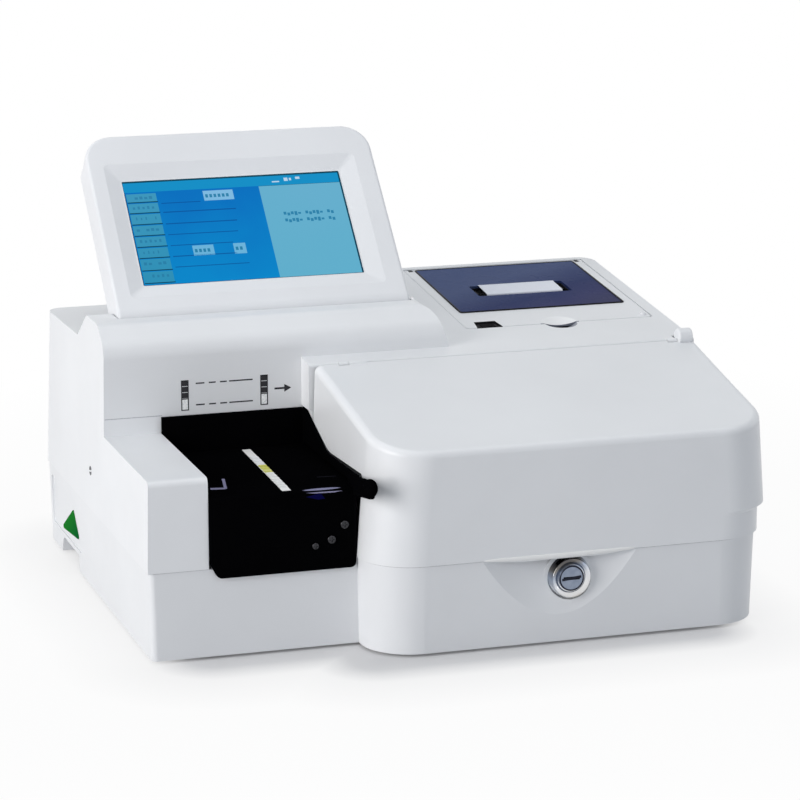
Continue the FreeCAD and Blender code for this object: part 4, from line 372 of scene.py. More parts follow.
def panel_indigo():
    """Indigo door panel: it runs from a bluer shade at its rear left to a plum one at its front
    right as a painted reflection, with a black line along its edges."""
    border = 0.0008
    foot = (0.0, panel_low[1], panel_low[2] + panel_thick)
    length = math.dist(foot, (0.0, panel_high[1], panel_high[2]))
    f = Finish("panel_indigo")
    across = f.along((1.0, 0.0, 0.0), (panel_middle, 0.0, 0.0))
    rise = f.along(door_up, foot)
    drift = f.math("SUBTRACT", rise, f.math("MULTIPLY", across, 0.6))
    drift = f.math("ADD", drift, f.math("MULTIPLY", f.noise(14.0, 3.0), 0.03))
    # painted reflection: the panel's colour drifts from rear left to front right
    shade = f.ramp(f.span(drift, 0.0, 1.0, -0.02, length + 0.03), [
        (0.0, (0.042, 0.044, 0.102)), (0.24, (0.033, 0.040, 0.128)),
        (0.38, (0.020, 0.034, 0.122)), (0.70, (0.068, 0.098, 0.215)),
        (1.0, (0.066, 0.098, 0.220))])
    inward = f.math("MINIMUM", f.math("SUBTRACT", panel_half, f.math("ABSOLUTE", across)),
                    f.math("MINIMUM", rise, f.math("SUBTRACT", length, rise)))
    edge = f.span(inward, 0.0, 1.0, border * 0.8, border * 1.2)
    f.set(Base_Color=f.over(edge, (0.004, 0.004, 0.008), shade), Specular_IOR_Level=0.008)
    f.set(Roughness=f.clouded(f.noise(60.0, 4.0), 0.24, 0.32))
    return f.mat


def plug_face():
    """Face of the key lock: bluish ground metal with a fine turned grain round its middle."""
    f = Finish("plug_face")
    f.set(Metallic=1.0, Base_Color=f.ramp(f.noise(260.0, 4.0), [
        (noise_low, (0.20, 0.235, 0.31)), (noise_high, (0.26, 0.30, 0.38))]))
    centre = f.vector("SUBTRACT", f.where, (lock_middle[0], -0.172, lock_middle[1]))
    rings = f.add("ShaderNodeTexWave", Vector=centre, Scale=900.0, Distortion=0.4)
    rings.wave_type = "RINGS"
    rings.rings_direction = "Y"
    f.set(Roughness=f.span(rings.outputs["Fac"], 0.30, 0.42))
    return f.bump(rings.outputs["Fac"], 4e-6).mat


def bezel_chrome():
    """Plated bezel: bright low down, and toward its top painted brown and blue reflections."""
    reach = 0.015
    f = Finish("bezel_chrome")
    rise = f.along((-0.35, 0.0, 0.94), (lock_middle[0], 0.0, lock_middle[1]))
    cloud = f.math("SUBTRACT", f.noise(120.0, 3.0), 0.5)
    cloudy = f.math("ADD", rise, f.math("MULTIPLY", cloud, 0.006))
    f.set(Metallic=1.0, Base_Color=f.ramp(f.span(cloudy, 0.0, 1.0, -reach, reach), [
        (0.0, (0.50, 0.46, 0.40)), (0.12, (0.66, 0.66, 0.66)), (0.48, (0.70, 0.72, 0.76)),
        (0.68, (0.38, 0.43, 0.52)), (0.82, (0.16, 0.15, 0.14)), (1.0, (0.04, 0.04, 0.05))]))
    f.set(Roughness=f.clouded(f.noise(300.0, 3.0), 0.10, 0.18))
    return f.mat


def pad_row():
    """Reagent pads: white felt, with two pads that have turned yellow. The colours go in
    steps from the strip's rear end to its front end."""
    strip_middle, reach = (0.0, -0.0660, 0.0), 0.060
    f = Finish("pad_row")
    forward = f.along((0.0, -1.0, 0.0), strip_middle)
    fibres = f.noise(900.0, 5.0, 0.7)
    turned = f.ramp(f.span(forward, 0.0, 1.0, -reach, reach),
                    [(0.0, (0.62, 0.64, 0.68)), (0.30, (0.80, 0.81, 0.82)),
                     (0.5, (0.60, 0.60, 0.12)), (0.585, (0.66, 0.66, 0.22)),
                     (0.667, (0.82, 0.83, 0.82))], step=True)
    f.set(Base_Color=turned, Roughness=f.clouded(fibres, 0.8, 0.95))
    return f.bump(fibres, 5e-5).mat


def on_screen(across, up, out):
    """A point on the leaning screen: across from its middle line, up the face, out of it."""
    x, y, z = screen_root
    return np.stack([x + across, y + (up - out) * screen_lean, z + (up + out) * screen_lean], -1)


def lit(name, low_colour, high_colour, cloud=0.0):
    """A lit display colour: it runs from one shade at the foot of the screen to another at
    its head, under a smooth dull sheet."""
    f = Finish(name)
    rise = f.along((0.0, screen_lean, screen_lean), tuple(on_screen(0.0, screen_foot, 0.0)))
    run = f.span(rise, 0.0, 1.0, 0.0, screen_head - screen_foot)
    if cloud:
        ripple = f.math("SUBTRACT", f.noise(26.0), 0.5)
        run = f.math("ADD", run, f.math("MULTIPLY", ripple, cloud))
    f.set(Base_Color=(0.004, 0.005, 0.007, 1.0), Roughness=0.18, Emission_Strength=1.0,
          Specular_IOR_Level=0.0)
    f.set(Emission_Color=f.ramp(run, [(0.0, low_colour), (1.0, high_colour)]))
    return f.mat


# plastics and rubber
shell_tint, cover_grain, painted_reflection_lilac = (0.80, 0.815, 0.835), 0.8e-5, (0.26, 0.25, 0.38)
shell_white = moulded("shell_white", shell_tint, shades=[dimple_painted_shade])
base_white = moulded("base_white", (0.78, 0.795, 0.815), shades=[seam_painted_shade])
door_white = moulded("door_white", shell_tint, shades=[scoop_painted_highlight, scoop_edge_painted_shade, pockets_painted_shade])
cover_white = moulded("cover_white", shell_tint, rough=(0.30, 0.38), depth=cover_grain)
pod_white = moulded("pod_white", (0.79, 0.805, 0.83), rough=(0.30, 0.38), depth=cover_grain)
bin_white = moulded("bin_white", (0.70, 0.71, 0.70), rough=(0.42, 0.52))
lamp_clear = moulded("lamp_clear", (0.72, 0.73, 0.76), rough=(0.10, 0.16), coat=0.6)
# the lip bead is paler than the shell: a painted highlight on a real bead
lip_painted_highlight = moulded("lip_painted_highlight", (0.86, 0.865, 0.86), rough=(0.22, 0.30), depth=0.4e-5)
deck_grey = moulded("deck_grey", (0.30, 0.31, 0.33), rough=(0.5, 0.62), shade=0.05)
screw_grey = moulded("screw_grey", (0.14, 0.14, 0.15), rough=(0.4, 0.5), shade=0.1, gleam=0.1,
                     shades=[screw_slot])
tray_black = moulded(
    "tray_black", (0.0014, 0.0014, 0.0018), rough=(0.34, 0.46), shade=0.25, gleam=0.0, shades=[
        # painted reflection: an L of lilac strokes on the black deck
        tray_stroke((-0.1592, -0.1118), (-0.1500, -0.1135), 0.0042, painted_reflection_lilac),
        tray_stroke((-0.1500, -0.1146), (-0.1452, -0.0900), 0.0019, painted_reflection_lilac),
        # a faint grey line on the deck
        tray_stroke((-0.0868, -0.1040), (-0.0745, -0.1053), 0.0016, (0.012, 0.012, 0.016)),
        # painted highlight along the tray's front edge
        painted_edge_glint((-0.0925, -0.1338), (0.0130, 0.0026), (0.24, 0.24, 0.37))])
# painted highlights on the tray's apron
painted_glint_lilac = moulded("painted_glint_lilac", (0.30, 0.29, 0.44), rough=(0.3, 0.5), shade=0.25, gleam=0.1)
painted_shine_blue = moulded("painted_shine_blue", (0.004, 0.004, 0.05), rough=(0.3, 0.5), shade=0.35, gleam=0.0)
frame_black = moulded("frame_black", (0.012, 0.012, 0.014), rough=(0.45, 0.58), shade=0.12,
                      gleam=0.15)
latch_black = moulded("latch_black", (0.005, 0.005, 0.007), rough=(0.4, 0.5), shade=0.12,
                      gleam=0.02)
chip_black = moulded("chip_black", (0.022, 0.022, 0.024), rough=(0.4, 0.55), shade=0.2)
rubber_black = moulded("rubber_black", (0.02, 0.02, 0.02), rough=(0.7, 0.85), shade=0.2,
                       depth=4e-5)
socket_black = moulded("socket_black", (0.018, 0.018, 0.019), rough=(0.35, 0.5), shade=0.15)
rim_black = moulded("rim_black", (0.004, 0.004, 0.007), rough=(0.3, 0.4), gleam=0.05)
# painted shade for the lock's groove and key slot
groove_painted_shade = moulded("groove_painted_shade", (0.006, 0.008, 0.02), rough=(0.4, 0.5), gleam=0.2)

# metals
chrome = metal("chrome", (0.72, 0.73, 0.75), rough=(0.10, 0.20), depth=2e-6)
steel = metal("steel", (0.58, 0.58, 0.60), rough=(0.22, 0.36), brush=(0.04, 1.0, 1.0))
sheet_steel = metal("sheet_steel", (0.55, 0.56, 0.58), rough=(0.3, 0.45), brush=(1.0, 0.05, 1.0))
cast_alloy = metal("cast_alloy", (0.66, 0.67, 0.68), rough=(0.32, 0.46))
black_nickel = metal("black_nickel", (0.045, 0.045, 0.05), rough=(0.14, 0.22), depth=3e-6)
port_metal = metal("port_metal", (0.62, 0.62, 0.63), rough=(0.2, 0.34), brush=(1.0, 1.0, 0.08))

# paper and printing
paper_white = paper("paper_white", (0.88, 0.88, 0.87))
slip_white = paper("slip_white", (0.86, 0.885, 0.96))
core_card = paper("core_card", (0.50, 0.40, 0.28), shade=0.12)
sign_ink = ink("sign_ink", (0.003, 0.003, 0.006))
sign_white = ink("sign_white", (0.78, 0.79, 0.80))
seam_grey = ink("seam_grey", (0.36, 0.37, 0.40))

# finishes of one piece each
board_lacquer, green_inlay, lens_clear = board_green(), window_green(), lens_glass()
indigo_panel, lock_plug_face, lock_bezel = panel_indigo(), plug_face(), bezel_chrome()
turned_pads = pad_row()

# colours of the lit screen
field_blue = lit("field_blue", (0.001, 0.235, 0.580), (0.001, 0.150, 0.510), 0.9)
header_blue = lit("header_blue", (0.004, 0.25, 0.53), (0.006, 0.27, 0.56))
message_cyan = lit("message_cyan", (0.115, 0.42, 0.595), (0.135, 0.425, 0.610), 0.4)
key_cyan = lit("key_cyan", (0.025, 0.27, 0.46), (0.050, 0.31, 0.50), 0.4)
box_cyan = lit("box_cyan", (0.11, 0.42, 0.66), (0.23, 0.50, 0.76), 0.4)
rule_blue = lit("rule_blue", (0.002, 0.12, 0.36), (0.001, 0.085, 0.34))
mark_blue = lit("mark_blue", (0.02, 0.21, 0.38), (0.03, 0.22, 0.40))
icon_white = lit("icon_white", (0.45, 0.62, 0.80), (0.50, 0.66, 0.82))
rim_navy = lit("rim_navy", (0.004, 0.05, 0.09), (0.004, 0.06, 0.10))

# ---------------------------------------------------------------- finish of each CAD node

node_finish = {
    "lower_housing": base_white, "upper_housing": shell_white, "rubber_feet": rubber_black,
    "chassis_plate": sheet_steel, "housing_screws": steel, "side_screw": black_nickel,
    "side_window": green_inlay, "rear_panel": sheet_steel, "power_inlet": socket_black,
    "rocker_frame": socket_black, "power_rocker": frame_black, "data_ports": port_metal,
    "main_board": board_lacquer, "board_components": chip_black, "power_supply": sheet_steel,
    "flip_cover": cover_white, "cover_catch": steel, "cover_hinge_pins": steel,
    "lock_barrel": lock_bezel, "lock_plug": lock_plug_face, "lock_cam": steel, "lock_nut": steel,
    "display_bezel": pod_white, "display_back_shell": pod_white, "lcd_panel": chip_black,
    "display_board": board_lacquer, "display_hinge_pins": steel, "pod_screws": steel,
    "printer_frame": frame_black, "printer_door": door_white, "door_panel": indigo_panel,
    "door_latch": latch_black, "door_lamp": lamp_clear, "door_hinge_pin": steel,
    "platen_roller": rubber_black, "thermal_head": cast_alloy, "paper_roll": paper_white,
    "roll_core": core_card, "paper_tail": slip_white, "strip_tray": tray_black,
    "tray_apron": tray_black, "tray_screws": black_nickel, "tray_guard": tray_black,
    "tray_rails": cast_alloy, "test_strip": paper_white, "reagent_pads": turned_pads,
    "inner_deck": deck_grey, "guide_rods": chrome, "rod_brackets": deck_grey,
    "optical_head": frame_black, "head_lens": lens_clear, "scan_motor": sheet_steel,
    "drive_pulley": cast_alloy, "idler_pulley": cast_alloy, "idler_post": steel,
    "scan_belt": rubber_black, "strip_carrier": bin_white, "carrier_rail": cast_alloy,
    "waste_bin": bin_white,
}
for name, finish in node_finish.items():
    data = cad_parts[name].data
    data.materials.clear()
    data.materials.append(finish)


# ---------------------------------------------------------------- shapes

def make(name, shape, finish, body, smooth=False):
    """A mesh piece from an array of points and a list of faces, on the body that carries it."""
    points, faces = shape
    mesh = bpy.data.meshes.new(name)
    mesh.from_pydata(np.asarray(points, float).reshape(-1, 3).tolist(), [], faces)
    mesh.polygons.foreach_set("use_smooth", [smooth] * len(mesh.polygons))
    mesh.update()
    mesh.materials.append(finish)
    piece = bpy.data.objects.new(name, mesh)
    bpy.context.scene.collection.objects.link(piece)
    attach(piece, body)
    return piece


def over_front(face):
    """Places over an upright face that looks to the front: part X, part Z, and out of it."""
    return lambda across, up, out: np.stack([across, face - out, up], -1)


on_hump, on_lock, on_apron = over_front(hump_front), over_front(lock_front), over_front(apron_front)


def slabs(corners, low, high, place):
    """Closed thin slabs, one for each four-cornered outline in corners (n, 4, 2), which runs
    round against the clock, between two heights over the surface that place gives."""
    corners = np.asarray(corners, float)
    count = len(corners)
    both = np.concatenate([corners, corners], 1)
    height = np.broadcast_to(np.repeat([low, high], 4), (count, 8))
    points = place(both[..., 0], both[..., 1], height)
    sides = [(0, 1, 5, 4), (1, 2, 6, 5), (2, 3, 7, 6), (3, 0, 4, 7), (3, 2, 1, 0), (4, 5, 6, 7)]
    faces = (np.array(sides)[None] + 8 * np.arange(count)[:, None, None]).reshape(-1, 4)
    return points, faces.tolist()


def boxes(rows):
    """Rows of (left, right, low, high) as four-cornered outlines."""
    rows = np.asarray(rows, float)
    return np.stack([rows[:, [0, 2]], rows[:, [1, 2]], rows[:, [1, 3]], rows[:, [0, 3]]], 1)


def stroke(start, end, width):
    """A straight stroke in a plane as a four-cornered outline that runs round against the
    clock: each corner is an end moved half the width square to the stroke."""
    a, b = np.array(start), np.array(end)
    run = (b - a) / np.linalg.norm(b - a)
    side = np.array([-run[1], run[0]]) * width / 2
    return np.array([[a - side, b - side, b + side, a + side]])


def grid_faces(rows, columns, looped=False):
    """Faces of a band of points that is numbered row by row. Its last column joins its first,
    and where it is looped its last row joins its first too."""
    row, column = np.meshgrid(np.arange(rows if looped else rows - 1), np.arange(columns),
                              indexing="ij")
    here, above, beside = row * columns, (row + 1) % rows * columns, (column + 1) % columns
    faces = np.stack([here + column, here + beside, above + beside, above + column], -1)
    return faces.reshape(-1, 4).tolist()


def lip_bead(left, right, ends, drop, height, proud, along=97, around=13):
    """Soft bead along the cover's lip. Its foot hangs drop below the ends as the square root
    of a cosine, its height and its bulge fade out at both ends as 1 - t^2 to the power 0.35,
    and it is half an ellipse in section, closed by its flat back."""
    t = np.linspace(-0.9999, 0.9999, along)
    swell = np.sqrt(1.0 - t ** 2) ** 0.7
    foot = ends - drop * np.cos(t * math.pi / 2) ** 0.5
    turn = np.linspace(math.pi / 2, -math.pi / 2, around)
    x = np.broadcast_to((left + right) / 2 + t * (right - left) / 2, (around, along)).T
    z = foot[:, None] + 0.5 * height * swell[:, None] * (1.0 + np.sin(turn)[None, :])
    y = cover_front - proud * swell[:, None] * np.cos(turn)[None, :]
    last = (along - 1) * around
    ends_closed = [list(range(around))[::-1], list(range(last, last + around))]
    return np.stack([x, y, z], -1), grid_faces(along, around) + ends_closed


def ring(centre, inner, outer, front, thick, count=72):
    """Flat ring round a level axis along Y: the four corners of its section, each carried
    round in a circle, and joined into a closed band."""
    turn = np.arange(count) * 2 * math.pi / count
    back = front + thick
    section = [(inner, front), (inner, back), (outer, back), (outer, front)]
    radius, y = np.array(section).T[..., None]
    points = np.stack([centre[0] + radius * np.cos(turn), y + 0 * turn,
                       centre[1] + radius * np.sin(turn)], -1)
    return points, grid_faces(len(section), count, looped=True)


def closed_turn(rings, first, last):
    """A closed skin over rings of points (row, place round it, 3), each row further along the
    axis than the one before, with a single point beyond each end."""
    rows, around = rings.shape[:2]
    points = np.concatenate([rings.reshape(-1, 3), [first], [last]])
    start, end, top = rows * around, rows * around + 1, (rows - 1) * around
    faces = grid_faces(rows, around)
    faces += [[start, (k + 1) % around, k] for k in range(around)]
    faces += [[end, top + k, top + (k + 1) % around] for k in range(around)]
    return points, faces


def bead(centre, radii, around=32, up=15):
    """Rounded grip bead: a sphere's latitude and longitude grid, stretched by three radii."""
    centre, radii = np.array(centre), np.array(radii)
    lat = np.linspace(-math.pi / 2, math.pi / 2, up + 2)[1:-1, None]
    lon = np.arange(around)[None] * 2 * math.pi / around
    ball = np.stack([np.cos(lat) * np.cos(lon), np.cos(lat) * np.sin(lon),
                     np.sin(lat) + 0 * lon], -1)
    pole = np.array([0.0, 0.0, radii[2]])
    return closed_turn(ball * radii + centre, centre - pole, centre + pole)


def turned(axis, profile, around=40):
    """Part turned round a level axis along X: a profile of (X, radius) carried round, whose
    first and last points lie on the axis."""
    x, r = np.array(profile)[1:-1].T[..., None]
    lon = np.arange(around)[None] * 2 * math.pi / around
    rings = np.stack([x + 0 * lon, axis[0] + r * np.cos(lon), axis[1] + r * np.sin(lon)], -1)
    return closed_turn(rings, (profile[0][0], *axis), (profile[-1][0], *axis))


def rounded_rim(foot, head, half, corner, width, height, around=9, arc=6):
    """Raised rim round a panel: half an ellipse carried round a rectangle with rounded corners
    that lies in the panel's slope, closed by its flat underside. Its height falls from the
    full height at the foot to 0.28 of it at the head, where the hinge is."""
    centre, along = (np.array(foot) + head) / 2, np.array(head, float) - foot
    reach = np.linalg.norm(along) / 2
    up = along / np.linalg.norm(along)
    out = np.array([0.0, -up[2], up[1]])
    quarter = np.linspace(0.0, math.pi / 2, arc)
    turn = np.concatenate([quarter + k * math.pi / 2 for k in range(4)])
    corner_across = np.repeat(np.array([1, -1, -1, 1]) * (half - corner), arc)[:, None]
    corner_up = np.repeat(np.array([1, 1, -1, -1]) * (reach - corner), arc)[:, None]
    lean = np.linspace(math.pi, 0.0, around)
    radius = corner + width / 2 * np.cos(lean)[None, :]
    across = corner_across + radius * np.cos(turn)[:, None]
    rise = corner_up + radius * np.sin(turn)[:, None]
    points = (centre + across[..., None] * np.array([1.0, 0, 0]) + rise[..., None] * up
              + (height * (0.64 - 0.36 * rise / reach) * np.sin(lean))[..., None] * out)
    return points, grid_faces(len(turn), around, looped=True)


def share(rows):
    """Rows of (left, right, top, bottom) given as shares of the screen, in its own metres."""
    r = np.asarray(rows, float)
    wide, tall = screen_right - screen_left, screen_head - screen_foot
    return np.stack([screen_left + r[:, 0] * wide, screen_left + r[:, 1] * wide,
                     screen_head - r[:, 3] * tall, screen_head - r[:, 2] * tall], 1)


def strip_sign(middle, foot, head, half):
    """The outline and the three dark pads of one strip, as (left, right, low, high) rows."""
    tall, pen, gap = head - foot, 0.0007, 0.0002
    left, right, waist = middle - half, middle + half, foot + 0.40 * tall
    pad = (head - waist) / 3.0
    outline = [(left, left + pen, foot, head), (right - pen, right, foot, head),
               (left, right, foot, foot + pen), (left, right, head - pen, head),
               (left, right, waist - pen, waist)]
    return outline + [(left + pen, right - pen, waist + pad * k + gap, waist + pad * (k + 1) - gap)
                      for k in range(3)]


# ---------------------------------------------------------------- the lit screen
# A menu of plain keys, ruled rows and a message field. Rows are (left, right, top, bottom) as
# shares of the screen, and the small marks differ in size and place by remainders of their
# numbers, so that they look like words but aren't.

key_edges = np.array([0.119, 0.214, 0.318, 0.427, 0.535, 0.642, 0.748, 0.866, 0.985])
key_foot, key_mark_pitch, box_mark_pitch, message_mark_pitch = 0.013, 0.0215, 0.019, 0.0168
keys = [(0.008, 0.142, top + 0.004, foot - key_foot)
        for top, foot in zip(key_edges[:-1], key_edges[1:])]
key_feet = [(0.008, 0.145, foot - key_foot, foot - 0.004) for foot in key_edges[1:]]
key_marks = [(0.022 + key_mark_pitch * k + 0.004 * ((k * 3 + row) % 3),
              0.036 + key_mark_pitch * k, top + 0.030 + 0.006 * ((k + row) % 2), top + 0.058)
             for row, top in enumerate(key_edges[:-1]) for k in range(5)
             if (k * 5 + row * 3) % 7]
rules = [(0.158, 0.336, 0.222, 0.230), (0.158, 0.489, 0.308, 0.318), (0.158, 0.482, 0.420, 0.430),
         (0.158, 0.475, 0.525, 0.533), (0.158, 0.441, 0.630, 0.638), (0.158, 0.449, 0.733, 0.743),
         (0.158, 0.493, 0.835, 0.843)]
entry_boxes = [(0.355, 0.492, 0.127, 0.222), (0.253, 0.348, 0.646, 0.742),
               (0.438, 0.493, 0.646, 0.746)]
box_marks = [(left + 0.008 + box_mark_pitch * k, left + 0.020 + box_mark_pitch * k,
              top + 0.034, top + 0.066)
             for left, right, top, _ in entry_boxes
             for k in range(int((right - left - 0.012) / box_mark_pitch))]
message_marks = [(0.700 + message_mark_pitch * k, 0.7125 + message_mark_pitch * k,
                  top + 0.010 * (k % 3 == 1), top + 0.028 + 0.010 * (k % 2))
                 for top in (0.372, 0.438) for k in range(14) if (k * 7 + int(top * 100)) % 6]
header_icons = [(0.681, 0.715, 0.068, 0.080), (0.738, 0.756, 0.040, 0.072),
                (0.762, 0.772, 0.044, 0.068), (0.792, 0.812, 0.036, 0.058)]

# thin films that lie one on another over the glass, each (low, high)
rim_film, field_film, key_film, mark_film = (
    (0.00000, 0.00004), (0.00004, 0.00007), (0.00007, 0.00010), (0.00010, 0.00013))
layers = [
    ("screen_rim", [(0.0, 1.0, 0.0, 1.0)], rim_navy, rim_film),
    ("screen_header", [(0.002, 0.992, 0.016, 0.108)], header_blue, field_film),
    ("screen_field", [(0.004, 0.615, 0.108, 0.994)], field_blue, field_film),
    ("screen_message", [(0.615, 0.992, 0.111, 0.994)], message_cyan, field_film),
    ("screen_keys", keys, key_cyan, key_film),
    ("screen_rules", rules, rule_blue, key_film),
    ("screen_boxes", entry_boxes, box_cyan, key_film),
    ("screen_key_marks", key_marks, mark_blue, mark_film),
    ("screen_key_feet", key_feet, rim_navy, key_film),
    ("screen_box_marks", box_marks, mark_blue, mark_film),
    ("screen_message_marks", message_marks, mark_blue, key_film),
    ("screen_icons", header_icons, icon_white, key_film),
]
for name, rows, finish, (low, high) in layers:
    make(name, slabs(boxes(share(rows)), glass_out + low, glass_out + high, on_screen), finish,
         "display")

# ---------------------------------------------------------------- the sign over the tray
# A strip, its way across in two dashed lines, the strip again and an arrow.

ink_thick, ground_thick = 0.00006, 0.00004
first_strip, second_strip, strip_half = -0.15025, -0.09625, 0.0026
sign_foot, sign_head = 0.1325, 0.1530
dash_inset, dash_pen = 0.0030, 0.0009
dash_ends = [(-0.14285, -0.13695), (-0.13395, -0.12925), (-0.12635, -0.12175), (-0.12015, -0.10405)]
dashes = [(left, right, z, z + dash_pen)
          for z in (sign_head - dash_inset, sign_foot + dash_inset) for left, right in dash_ends]
arrow_shaft = [(-0.08915, -0.08215, 0.14245, 0.14375)]
arrow_head = np.array([[(-0.08235, 0.14050), (-0.07765, 0.14305), (-0.07765, 0.14315),
                        (-0.08235, 0.14570)]])
sign_rows = (strip_sign(first_strip, sign_foot, sign_head, strip_half)
             + strip_sign(second_strip, sign_foot, sign_head, strip_half) + dashes + arrow_shaft)
make("way_sign", slabs(np.concatenate([boxes(sign_rows), arrow_head]), 0.0, ink_thick, on_hump),
     sign_ink, "housing")
sign_grounds = boxes([(middle - 0.0018, middle + 0.0018, sign_foot + 0.0007, sign_foot + 0.0075)
                      for middle in (first_strip, second_strip)])
make("way_sign_ground", slabs(sign_grounds, 0.0, ground_thick, on_hump), sign_white, "housing")

# ---------------------------------------------------------------- trim

make("cover_lip_bead", lip_bead(left=0.0030, right=0.1055, ends=0.0596, drop=0.0022,
                                height=0.0034, proud=0.0008),
     lip_painted_highlight, "flip_cover", smooth=True)

# painted shade: thin dark sheets stand for the groove round the plug and the key slot
make("lock_groove", ring(lock_middle, inner=0.0074, outer=0.0084, front=-0.17216, thick=0.0001),
     groove_painted_shade, "lock")
key_way = stroke((0.0560, 0.04230), (0.0690, 0.04370), width=0.0017)
make("key_slot", slabs(key_way, 0.0, 0.0001, on_lock), groove_painted_shade, "lock")

make("tray_grip", bead(centre=(-0.0721, -0.1726, 0.1135), radii=(0.0045, 0.0064, 0.0058)),
     tray_black, "strip_tray", smooth=True)

rim_inset = (0.0005, 0.0006)    # from the panel's sides and from its foot
make("panel_rim", rounded_rim(
    foot=(panel_middle, panel_low[1] + rim_inset[1], panel_low[2] + panel_thick),
    head=(panel_middle, panel_high[1], panel_high[2]), half=panel_half - rim_inset[0],
    corner=0.0020, width=0.0016, height=0.0009), rim_black, "printer_door", smooth=True)

# the side screw's domed head, and its shank in the wall
dome = [(-0.20645, 0.0), (-0.20644, 0.0010), (-0.20638, 0.0021), (-0.20626, 0.0028),
        (-0.20608, 0.0032), (-0.20415, 0.0032)]
shank = [(-0.20415, 0.0015), (-0.1993, 0.0015), (-0.1990, 0.0012), (-0.1990, 0.0)]
screw_head = make("side_screw_head", turned(screw_axis, dome + shank), screw_grey, "housing")
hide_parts("side_screw")

# two painted highlights on the tray's apron, and the seam on the left of the upright face
glint_edge = [[(-0.0985, 0.1037), (-0.0850, 0.1034), (-0.0800, 0.1042), (-0.1040, 0.1045)]]
make("apron_glint", slabs(glint_edge, 0.0, 0.00005, on_apron), painted_glint_lilac, "strip_tray")
glint_foot = [[(-0.1040, 0.1018), (-0.0960, 0.0995), (-0.0915, 0.0998), (-0.0945, 0.1036)]]
make("apron_shine", slabs(glint_foot, 0.0, 0.00004, on_apron), painted_shine_blue, "strip_tray")
make("hump_seam", slabs(boxes([(-0.2045, -0.1660, 0.1300, 0.1305)]), 0.0, 0.00005, on_hump),
     seam_grey, "housing")


# ---------------------------------------------------------------- stage, light and camera

def stage_finish(name, colour, grounds, reach, stops):
    """Pale ground: lit so that it keeps the shadow, and seen mostly as white. The white share
    goes by the distance outside the nearest of some rectangles, each (centre, half sides), and
    is low near them, which paints a shade round the unit's foot: stops are (distance as a
    share of reach, white share)."""
    f = Finish(name)
    f.set(Base_Color=(*colour, 1.0), Roughness=0.9, Specular_IOR_Level=0.1)
    gaps = []
    for centre, half in grounds:
        away = f.vector("ABSOLUTE", f.vector("SUBTRACT", f.where, (*centre, 0.0)))
        outside = f.vector("MAXIMUM", f.vector("SUBTRACT", away, (*half, 1.0)), (0.0, 0.0, 0.0))
        gaps.append(f.vector("LENGTH", outside, result="Value"))
    run = f.span(f.math("MINIMUM", *gaps), 0.0, 1.0, 0.0, reach)
    whiteness = f.math("MULTIPLY", f.seen(),
                       f.ramp(run, [(place, (grey,) * 3) for place, grey in stops]))
    white = f.add("ShaderNodeEmission", Color=(1.0, 1.0, 1.0, 1.0), Strength=1.0)
    f.show("Material Output", whiteness, f.shader.outputs[0], white.outputs[0])
    return f.mat


floor_half, floor_drop = 9, -0.0004
floor_mesh = bpy.data.meshes.new("floor")
floor_mesh.from_pydata([(x * floor_half, y * floor_half, floor_drop)
                        for x, y in ((-1, -1), (1, -1), (1, 1), (-1, 1))], [], [(0, 1, 2, 3)])
floor = bpy.data.objects.new("floor", floor_mesh)
bpy.context.scene.collection.objects.link(floor)
# the rectangles that the unit stands over, round which the floor's shade is painted
base_ground, front_ground = ((-0.0825, 0.007), (0.0825, 0.1425)), ((0.041, 0.0), (0.109, 0.172))
floor_mesh.materials.append(stage_finish(
    "pale_floor", (0.66, 0.66, 0.67), [base_ground, front_ground], 0.5,
    [(0.0, 0.08), (0.03, 0.16), (0.05, 0.44), (0.08, 0.78), (0.20, 0.94), (1.0, 1.0)]))

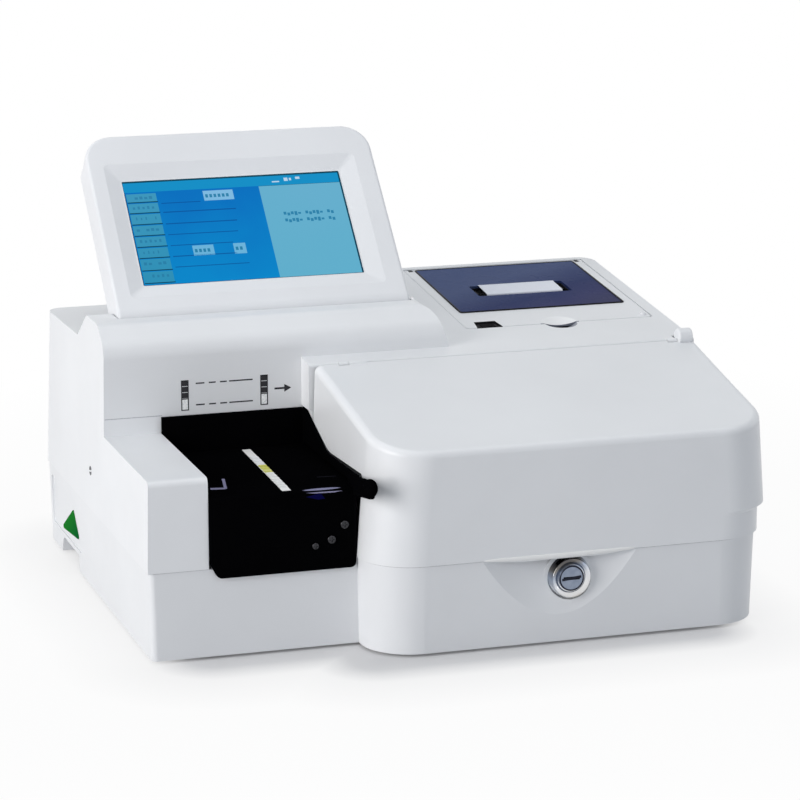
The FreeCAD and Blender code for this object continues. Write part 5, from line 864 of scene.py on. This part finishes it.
# pale light from all round, while the background itself is seen white
world = bpy.data.worlds.new("studio")
bpy.context.scene.world = world
world.use_nodes = True
sky = Wiring(world.node_tree)
ambient = world.node_tree.nodes["Background"]
sky.put(ambient.inputs["Color"], (0.88, 0.94, 1.0, 1.0))
sky.put(ambient.inputs["Strength"], 0.32)
backdrop = sky.add("ShaderNodeBackground", Color=(1.0, 1.0, 1.0, 1.0), Strength=1.0)
sky.show("World Output", sky.seen(), ambient.outputs[0], backdrop.outputs[0])


def soft_lamp(name, place, aim, size, power, colour):
    """A square area lamp that faces its aim."""
    data = bpy.data.lights.new(name, "AREA")
    data.shape = "SQUARE"
    data.size = size
    data.energy = power
    data.color = colour
    lamp = bpy.data.objects.new(name, data)
    bpy.context.scene.collection.objects.link(lamp)
    lamp.location = place
    lamp.rotation_euler = (Vector(aim) - Vector(place)).to_track_quat("-Z", "Y").to_euler()


soft_lamp("left_key", place=(-2.4, -0.9, 0.85), aim=(0.0, 0.0, 0.12), size=1.6, power=46.0,
          colour=(1.0, 0.975, 0.96))
soft_lamp("overhead", place=(0.1, 0.1, 2.4), aim=(0.0, 0.0, 0.1), size=2.4, power=20.0,
          colour=(0.98, 0.99, 1.0))
soft_lamp("front_fill", place=(0.9, -2.6, 1.0), aim=(0.0, 0.0, 0.12), size=2.2, power=5.8,
          colour=(0.84, 0.88, 1.0))
soft_lamp("right_fill", place=(2.6, 0.2, 0.9), aim=(0.0, 0.0, 0.10), size=1.6, power=6.0,
          colour=(1.0, 0.97, 0.97))

focal_pixels, frame_pixels, sensor = 3272.0, 800.0, 36.0
eye, azimuth, elevation, roll = (-0.65225, -2.05331, 0.6345), -17.68, 13.28, -0.07
camera_data = bpy.data.cameras.new("camera")
camera_data.sensor_width = sensor
camera_data.lens = focal_pixels * sensor / frame_pixels
camera_data.clip_start, camera_data.clip_end = 0.05, 50.0
camera = bpy.data.objects.new("camera", camera_data)
bpy.context.scene.collection.objects.link(camera)
turn = (Matrix.Rotation(math.radians(azimuth), 4, "Z")
        @ Matrix.Rotation(math.radians(90.0 - elevation), 4, "X")
        @ Matrix.Rotation(math.radians(roll), 4, "Z"))
camera.matrix_world = Matrix.Translation(eye) @ turn
bpy.context.scene.camera = camera

bpy.context.scene.view_settings.view_transform = "Standard"
